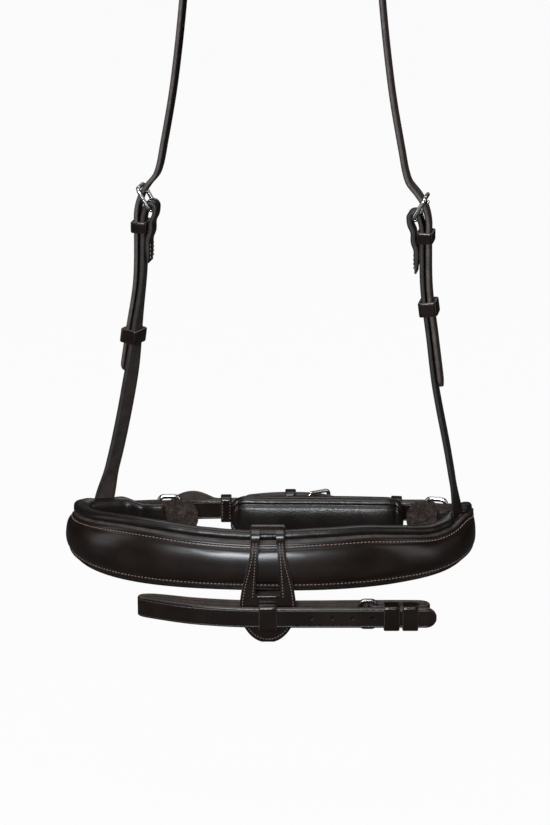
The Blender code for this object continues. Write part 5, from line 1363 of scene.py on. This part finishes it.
line = crank_line()
along = arc_lengths(line)
crank = show("crank_strap_leather", strap_mesh(line, (0, 0, 1),
                                               rounded_tip(along, STRAP_WIDTH / 2, STRAP_WIDTH / 2),
                                               STRAP_THICK, 1.0), strap_leather, "noseband",
             "bridle_leather", "crank_strap")
heel, right, out = rear_frame(CRANK_HEEL_U, -CRANK_HEEL_OUT)
up_share, out_share = tongue_crossing()
spot = heel + right * up_share + out * out_share
slant = unit(-right * 0.92 + out * 0.38)
punched(crank, [(heel + right * FOLD_RADIUS, right, out, TONGUE_SLOT, FOLD_RADIUS * 3),
                (spot, np.cross(slant, (0, 0, 1)), slant, TONGUE_SLOT, TONGUE_WIRE * 3.6)])
up = np.array([0.0, 0.0, 1.0])
make_buckle("crank", heel, right, out, up, BUCKLE_SLOPE, BUCKLE_REACH, bright_steel, "bright_steel",
            "crank_buckle", "crank_tongue")
stack = CRANK_HEEL_OUT + STACK_OUT + LAYER_STEP / 2
place, ahead, outward = rear_frame(CRANK_HEEL_U - FIXED_KEEPER_DOWN, -stack)
show_keeper("crank_fixed_keeper", place, ahead, up, STRAP_WIDTH + PLAY, KEEPER_DEPTH, KEEPER_WIDTH,
            "noseband")


# Chin pad: a soft leather cushion over foam, sewn to a flat leather backing whose two loops ride on
# the crank strap. Its top edge is piped, and the leather gathers into short creases below it.
for name, u in (("left_crank_keeper", PAD_U - PAD_LENGTH / 2 - PAD_LOOP_AWAY / 2),
                ("right_crank_keeper", PAD_U + PAD_LENGTH / 2 - PAD_LOOP_AWAY)):
    place, ahead, outward = rear_frame(u, (CRANK_INNER_INSET + CRANK_OUTER_INSET) / 2)
    show_keeper(name, place, ahead, up, STRAP_WIDTH + 2 * PLAY, KEEPER_DEPTH, KEEPER_WIDTH,
                "chin_pad_body")
    stitch_lines = []
    for edge in (-1, 1):
        spots, aheads, faces = zip(*(rear_frame(u + edge * (KEEPER_WIDTH / 2 - 1.1 * MM),
                                                (CRANK_INNER_INSET + CRANK_OUTER_INSET) / 2
                                                + KEEPER_DEPTH / 2 + KEEPER_WALL, z)
                                     for z in CRANK_Z + np.linspace(-6.2, 6.2, 12) * MM))
        stitch_lines.append(stitch_row(np.array(spots), -np.array(faces), 1.9 * MM))
    places, run, outward = joined(stitch_lines)
    show(name + "_stitches", stitch_mesh(places, run, outward, 1.35 * MM, THREAD_WIDTH * 0.8), thread,
         "chin_pad_body", "bridle_leather")


def crank_keeper_reach():
    """How far inside the loop's outer face the crank keepers reach."""
    middle = (CRANK_INNER_INSET + CRANK_OUTER_INSET) / 2
    return middle + KEEPER_DEPTH / 2 + KEEPER_WALL


def pad_half_height(share):
    """Half height of the chin pad's outline at a share of its half length, with round corners."""
    from_end = (1 - abs(share)) * PAD_LENGTH / 2
    corner = np.clip(1 - from_end / PAD_CORNER, 0, 1)
    return PAD_HEIGHT / 2 - PAD_CORNER * (1 - math.sqrt(max(1 - corner ** 2, 0.0))) * 0.8


def pad_surface():
    """Cushion: the CAD's swell over its outline, a piped rim and gathers that fade from the top edge down.

    At share a of the half length and angle t round the section: z is half * sign(cos t) |cos t|^0.62
    and the swell is (0.42 + 0.58 sin(t)^0.8) of the crown. Grooves 4.4 mm from the long edges and 4.8 mm
    from the ends set off the piping. The gathers are waves of 0.05 mm in u, and of 0.04 mm low down.
    """
    face = crank_keeper_reach() + GAP + BACKING_THICK + GAP
    rings = []
    shares = np.sin(np.linspace(-1, 1, 190) * math.pi / 2)
    for share in shares:
        u = PAD_U + share * PAD_LENGTH / 2
        half = pad_half_height(share)
        fill = (1 - abs(share) ** 6) ** 0.5 if abs(share) < 1 else 0.0
        angles = np.linspace(0, math.pi, 61)
        z = half * np.sign(np.cos(angles)) * np.abs(np.cos(angles)) ** 0.62
        swell = (0.42 + 0.58 * np.sin(angles) ** 0.8) * (0.3 + 0.7 * fill) * PAD_CROWN
        swell = np.minimum(swell, (0.18 + 2.2 * np.sin(angles) ** 0.6) * PAD_CROWN)
        groove = np.exp(-((np.abs(z) - half + 4.4 * MM) / (0.9 * MM)) ** 2) * 1.3 * MM
        end_groove = np.exp(-(((1 - abs(share)) * PAD_LENGTH / 2 - 4.8 * MM) / (1.0 * MM)) ** 2) * 1.3 * MM
        puff = np.clip(1 - (z / (half - 4.4 * MM)) ** 2, 0, 1) * np.clip(1 - share ** 8, 0, 1) * 1.1 * MM
        fold = np.sin(u / (0.83 * MM) + 2.6 * np.sin(u / (7 * MM)))
        fold = fold * (0.5 + 0.5 * np.sin(u / (4.3 * MM) + 1.0))
        gather = 0.05 * MM * fold * np.exp(-((half - 4.5 * MM - z) / (3.4 * MM)) ** 2)
        low = 0.04 * MM * np.sin(u / (1.6 * MM)) * np.exp(-((z + half - 5 * MM) / (4 * MM)) ** 2)
        inset = face + swell + puff - groove * (swell > 0.35 * PAD_CROWN)
        inset = inset - end_groove * np.sin(angles) + (gather + low) * fill
        back_z = np.linspace(-half * 0.96, half * 0.96, 9)
        z = np.concatenate([back_z, z]) + PAD_Z
        inset = np.concatenate([np.full(9, face), inset])
        rings.append(nose_section(rear_s(u) + np.zeros(len(z)), -inset, z))
    return np.array(rings)


PAD_COLOUR = (0.0050, 0.0032, 0.0024)
pad_leather = soft_leather("chin_pad_leather", PAD_COLOUR, 0.26)
pad = show("chin_pad_cushion", skin(pad_surface(), sharp=math.radians(85)), pad_leather, "chin_pad_body",
           "soft_padding", "chin_pad")
backing = []
for share in np.sin(np.linspace(-1, 1, 80) * math.pi / 2):
    u = PAD_U + share * PAD_LENGTH / 2
    trim = pad_half_height(share) - BACKING_MARGIN
    back_inset = crank_keeper_reach() + GAP
    outline = np.array(rounded_outline(trim, BACKING_THICK / 2, BACKING_THICK * 0.4, 3))
    backing.append(nose_section(rear_s(u) + np.zeros(len(outline)),
                                -(back_inset + BACKING_THICK / 2) - outline[:, 1], outline[:, 0] + PAD_Z))
show("chin_pad_backing_leather", skin(backing, np.zeros(16)), keeper_leather, "chin_pad_body",
     "bridle_leather", "chin_pad_backing")


# Flash loop: one piece of leather that wraps over the nosepiece. In front it is split into two
# stitched legs that join again below a slot, and it ends in a rounded tab with a keeper on it.
FLASH_X = -2.5 * MM
SLING_HALF_TOP = 10.6 * MM
SLING_HALF_BACK = 9.0 * MM
TAB_HALF_WIDTH = 17.2 * MM
TAB_BOTTOM_Z = -46.5 * MM
TAB_ROUND = 21.5 * MM
LEG_SPREAD_TOP_Z = 16.0 * MM
LEG_SPREAD_LOW_Z = -24.0 * MM
BAND_END_Z = -27.0 * MM
SLING_THICK = 2.2 * MM
SLOT_Z = -17.0 * MM
WINDOW_HALF_TOP = 4.7 * MM
WINDOW_HALF_BOTTOM = 7.6 * MM
TAB_FRONT_Y = -5.2 * MM
FLASH_Z = -29.4 * MM
FLASH_STRAP_Y = -9.6 * MM
FLASH_BAR_BACK = 2.8 * MM
FLASH_REAR_BACK = 9.2 * MM
FLASH_LEFT_REACH = 79.0 * MM
FLASH_HEEL_U = 66.0 * MM
FLASH_BUCKLE_REACH = 9.4 * MM
FLASH_FIXED_KEEPER_AWAY = 9.6 * MM
FLASH_RUNNING_KEEPER_AWAY = 21.0 * MM
FLASH_FOLD_AWAY = 32.0 * MM
FLASH_TIP_AWAY = 37.0 * MM
FLASH_FOLD_REACH = 6.0 * MM
FLASH_KEEPER_WIDTH = 9.6 * MM
TAB_KEEPER_WIDTH = 11.0 * MM
FLASH_HOLE_PITCH = 12.4 * MM
FLASH_HOLE_FROM_TIP = 14.0 * MM
FLASH_HOLE_DIAMETER = 2.7 * MM
FLASH_HOLE_COUNT = 6
FLASH_STRAIGHT_U = 30.0 * MM
FLASH_REAR_SHARES = ((0.152, 0.692), (0.557, 1.038), (0.886, 1.569), (0.987, 1.531), (1.0, 1.308),
                     (0.937, 1.031), (0.633, 0.277))
FLASH_FRONT_SHARES = ((0.38, 0.2), (0.152, 0.031))
FLASH_REAR_RIGHT_SHARES = ((0.88, 0.0), (0.364, 0.046))
FLASH_CHAPE_SHARES = ((0.77, 0.867), (0.385, 0.933))
FLASH_FOLD_SHARES = (0.466, 0.5)
SLING_LOW_SHARES = ((1.09, 0.91), (2.27, 0.545), (1.36, 0.27))
SLING_END_SHARE = 2.05
SLING_BACK_SHARES = ((1.2, 1.82), (1.7, 0.0), (1.9, 3.18), (1.3, 0.545))
SLING_TOP_SHARES = ((1.82, 0.364), (1.364, 0.18), (-0.4545, -0.4545), (-0.864, -2.727))
SLING_FRONT_SHARES = ((-1.682, 0.511), (-2.136, 0.0), (-2.136, -0.584))
SLING_TAB_SHARES = (-1.46, -2.48)


def sling_profile():
    """Side profile of the flash sling: behind the padding, over the roll and down the front to the tab."""
    front = -LOOP_FRONT_DEPTH
    thick = SLING_THICK
    top = NOSE_HALF_HEIGHT + SHOULDER_RISE + ROLL_RISE + PLAY
    back = front + NOSE_LEATHER + PADDING_DEPTH
    clear = GAP + PLAY + thick / 2
    low = -NOSE_HALF_HEIGHT - ROLL_HANG - clear
    tab = front + TAB_FRONT_Y
    tab_back = tab + thick + GAP * 1.5
    near_low, mid_low, far_low = SLING_LOW_SHARES
    points = [(tab_back, BAND_END_Z), (tab_back, BAND_END_Z + thick * SLING_END_SHARE),
              (tab_back + thick * near_low[0], low - thick * near_low[1]),
              (front + thick * mid_low[0], low - thick * mid_low[1]),
              (back - thick * far_low[0], low - thick * far_low[1])]
    heights = (low, 0.0, top, top)
    senses = (1, 0, -1, -1)
    for (out, up), height, sense in zip(SLING_BACK_SHARES, heights, senses):
        points.append((back + clear * out, height + sense * thick * up))
    starts = ((back, -1, top + clear), (front, 1, top + clear), (front, 1, top), (front, 1, top))
    for (out, up), (start, sense, height) in zip(SLING_TOP_SHARES, starts):
        points.append((start + sense * thick * out, height + thick * up))
    points += [(front + thick * out, NOSE_HALF_HEIGHT * up) for out, up in SLING_FRONT_SHARES]
    points += [(tab, NOSE_HALF_HEIGHT * up) for up in SLING_TAB_SHARES]
    return points + [(tab, TAB_BOTTOM_Z)]


def flash_point(u, y, z=FLASH_Z):
    u, y = np.broadcast_arrays(u, y)
    return to_world(np.stack([FLASH_X + u, -LOOP_FRONT_DEPTH + y], axis=-1), z)


def sling_half_width(z, along):
    """Half width down the sling: widening smoothly to the tab, whose end is a half circle."""
    drop = (LEG_SPREAD_TOP_Z - z) / (LEG_SPREAD_TOP_Z - LEG_SPREAD_LOW_Z)
    half_width = SLING_HALF_TOP + (TAB_HALF_WIDTH - SLING_HALF_TOP) * smooth_share(drop)
    behind = smooth_share((along[np.argmax(z)] - along) / (7 * MM))
    half_width = half_width + (SLING_HALF_BACK - half_width) * behind
    return np.minimum(half_width, rounded_tip(along, TAB_HALF_WIDTH, TAB_ROUND))


profile = smooth_line(np.array(sling_profile()), 0.6 * MM)
line = to_world(np.stack([np.full(len(profile), FLASH_X), profile[:, 0]], axis=1), profile[:, 1])
sideways = turn_plan(np.array([1.0, 0.0]))
forward = turn_plan(np.array([0.0, -1.0]))
half_width = sling_half_width(profile[:, 1], arc_lengths(line))
sling_leather = leather("flash_loop_leather", LEATHER_COLOUR, FLESH_COLOUR, EDGE_COLOUR, 0.2)
sling = show("flash_loop_leather", strap_mesh(line, sideways, half_width, SLING_THICK, 1.0),
             sling_leather, "flash_loop_body", "bridle_leather", "flash_loop")


def window_cutter(top):
    """Tapered block with round lower corners that opens the space between the legs."""
    corner = 1.6 * MM
    outline = [(-WINDOW_HALF_TOP, top), (WINDOW_HALF_TOP, top)]
    outline += [(WINDOW_HALF_BOTTOM - corner + corner * math.cos(a), SLOT_Z + corner + corner * math.sin(a))
                for a in np.linspace(0, -math.pi / 2, 6)]
    outline += [(-WINDOW_HALF_BOTTOM + corner - corner * math.sin(a), SLOT_Z + corner - corner * math.cos(a))
                for a in np.linspace(0, math.pi / 2, 6)]
    rings = []
    for y in (-LOOP_FRONT_DEPTH + 1.2 * MM, -LOOP_FRONT_DEPTH - 13 * MM):
        rings.append([to_world(np.array([FLASH_X + x, y]), z) for x, z in outline])
    return skin(rings)


window_top = NOSE_HALF_HEIGHT + SHOULDER_RISE + ROLL_RISE + PLAY + 2 * SLING_THICK
cutter = bpy.data.objects.new("flash_window", window_cutter(window_top))
scene.collection.objects.link(cutter)
cut_out(sling, cutter)


def sling_front(z):
    """Out place of the sling's front face at a height, read from its profile."""
    front = profile[np.argmax(profile[:, 1]):]
    return np.interp(-np.asarray(z), -front[:, 1], front[:, 0]) - SLING_THICK / 2


rows = []
edge_in = 1.7 * MM
for side in (-1, 1):
    z = np.linspace(NOSE_HALF_HEIGHT + SHOULDER_RISE + ROLL_RISE * 0.2, TAB_BOTTOM_Z + TAB_ROUND, 80)
    front = profile[np.argmax(profile[:, 1]):]
    half = np.interp(-z, -front[:, 1], half_width[np.argmax(profile[:, 1]):])
    row = to_world(np.stack([FLASH_X + side * (half - edge_in), sling_front(z)], axis=1), z)
    rows.append(stitch_row(row, np.tile(forward, (80, 1)), 1.8 * MM))
    z = np.linspace(NOSE_HALF_HEIGHT + SHOULDER_RISE + ROLL_RISE * 0.2, SLOT_Z - 1.0 * MM, 60)
    share = (window_top - z) / (window_top - SLOT_Z)
    half = WINDOW_HALF_TOP + (WINDOW_HALF_BOTTOM - WINDOW_HALF_TOP) * share + edge_in
    row = to_world(np.stack([FLASH_X + side * half, sling_front(z)], axis=1), z)
    rows.append(stitch_row(row, np.tile(forward, (60, 1)), 1.8 * MM))
lip_x = FLASH_X + np.linspace(-1, 1, 20) * (WINDOW_HALF_BOTTOM - 1.2 * MM)
lip_y = np.full(20, -LOOP_FRONT_DEPTH + TAB_FRONT_Y - SLING_THICK * 0.25)
lip = to_world(np.stack([lip_x, lip_y], axis=1), SLOT_Z - 0.3 * MM)
show("flash_slot_lip", open_tube(lip, 1.0 * MM, 1.0 * MM), keeper_leather, "flash_loop_body",
     "bridle_leather")
turn = np.linspace(0, math.pi, 60)
row = to_world(np.stack([FLASH_X - (TAB_HALF_WIDTH - edge_in) * np.cos(turn),
                         np.full(60, -LOOP_FRONT_DEPTH + TAB_FRONT_Y - SLING_THICK / 2)], axis=1),
               TAB_BOTTOM_Z + TAB_ROUND - (TAB_ROUND - edge_in) * np.sin(turn))
rows.append(stitch_row(row, np.tile(forward, (60, 1)), 1.8 * MM))
places, run, outward = joined(rows)
show("flash_loop_stitches", stitch_mesh(places, run, outward, 1.2 * MM, THREAD_WIDTH * 0.9), thread,
     "flash_loop_body", "bridle_leather")


# Flash strap: a half-inch strap that goes round the horse's muzzle in front of the bit. It hangs
# fastened through its own dark steel buckle, with a fixed and a running keeper beside it.
def flash_line():
    """Line of the flash strap in its own plane: chape, rear run, left fold and front run."""
    front = FLASH_STRAP_Y
    base = front + LAYER_STEP
    bar = base + FLASH_BAR_BACK
    rear = base + FLASH_REAR_BACK
    fold = FLASH_HEEL_U + FLASH_FOLD_AWAY
    points = [(FLASH_HEEL_U + STRAP_WIDTH * away, bar + STRAP_THICK * behind)
              for away, behind in FLASH_CHAPE_SHARES]
    points += [(FLASH_HEEL_U - FOLD_RADIUS * math.cos(a), bar + FOLD_RADIUS * math.sin(a))
               for a in np.linspace(math.pi / 2, -math.pi / 2, 7)]
    near = STRAP_THICK * FLASH_FOLD_SHARES[0]
    turn = STRAP_THICK * FLASH_FOLD_SHARES[1]
    points += [(FLASH_HEEL_U + FLASH_FOLD_REACH, base), (fold - FLASH_FOLD_REACH, base),
               (fold - near, base + turn), (fold, (base + rear) / 2), (fold - near, rear - turn),
               (fold - FLASH_FOLD_REACH, rear)]
    points += [(FLASH_HEEL_U * share, rear - STRAP_WIDTH * ahead)
               for share, ahead in FLASH_REAR_RIGHT_SHARES]
    points += [(-FLASH_LEFT_REACH * share, base + STRAP_WIDTH * back) for share, back in FLASH_REAR_SHARES]
    points += [(-FLASH_LEFT_REACH * share, front + STRAP_WIDTH * back) for share, back in FLASH_FRONT_SHARES]
    points += [(0.0, front), (FLASH_STRAIGHT_U, front), (FLASH_HEEL_U + FLASH_TIP_AWAY, front)]
    flat = smooth_line(np.array(points), 0.9 * MM)
    return flash_point(flat[:, 0], flat[:, 1]), bar


line, bar = flash_line()
along = arc_lengths(line)
flash = show("flash_strap_leather", strap_mesh(line, (0, 0, 1),
                                               rounded_tip(along, STRAP_WIDTH / 2, STRAP_WIDTH / 2),
                                               STRAP_THICK, 1.0), strap_leather, "flash_strap_body",
             "bridle_leather", "flash_strap")
first = FLASH_HEEL_U + FLASH_TIP_AWAY - FLASH_HOLE_FROM_TIP
holes = [(flash_point(first - i * FLASH_HOLE_PITCH, FLASH_STRAP_Y), forward, sideways, FLASH_HOLE_DIAMETER,
          FLASH_HOLE_DIAMETER) for i in range(FLASH_HOLE_COUNT)]
heel = flash_point(FLASH_HEEL_U, bar)
punched(flash, holes)
punched(flash, [(heel - sideways * FOLD_RADIUS, sideways, forward, TONGUE_SLOT, FOLD_RADIUS * 3)])
stack = FLASH_STRAP_Y + LAYER_STEP / 2
show_keeper("flash_fixed_keeper", flash_point(FLASH_HEEL_U + FLASH_FIXED_KEEPER_AWAY, stack), sideways,
            up, STRAP_WIDTH + PLAY, KEEPER_DEPTH, FLASH_KEEPER_WIDTH, "flash_strap_body")
show_keeper("flash_running_keeper", flash_point(FLASH_HEEL_U + FLASH_RUNNING_KEEPER_AWAY, stack),
            sideways, up, STRAP_WIDTH + PLAY, KEEPER_DEPTH, FLASH_KEEPER_WIDTH, "flash_keeper")
show_keeper("flash_tab_keeper", flash_point(0.0, FLASH_STRAP_Y), sideways, up, STRAP_WIDTH + PLAY,
            STRAP_THICK + PLAY, TAB_KEEPER_WIDTH, "flash_loop_body")
make_buckle("flash", heel, -sideways, forward, up, math.radians(90), FLASH_BUCKLE_REACH, dark_steel,
            "dark_steel", "flash_buckle", "flash_tongue")

low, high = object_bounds()
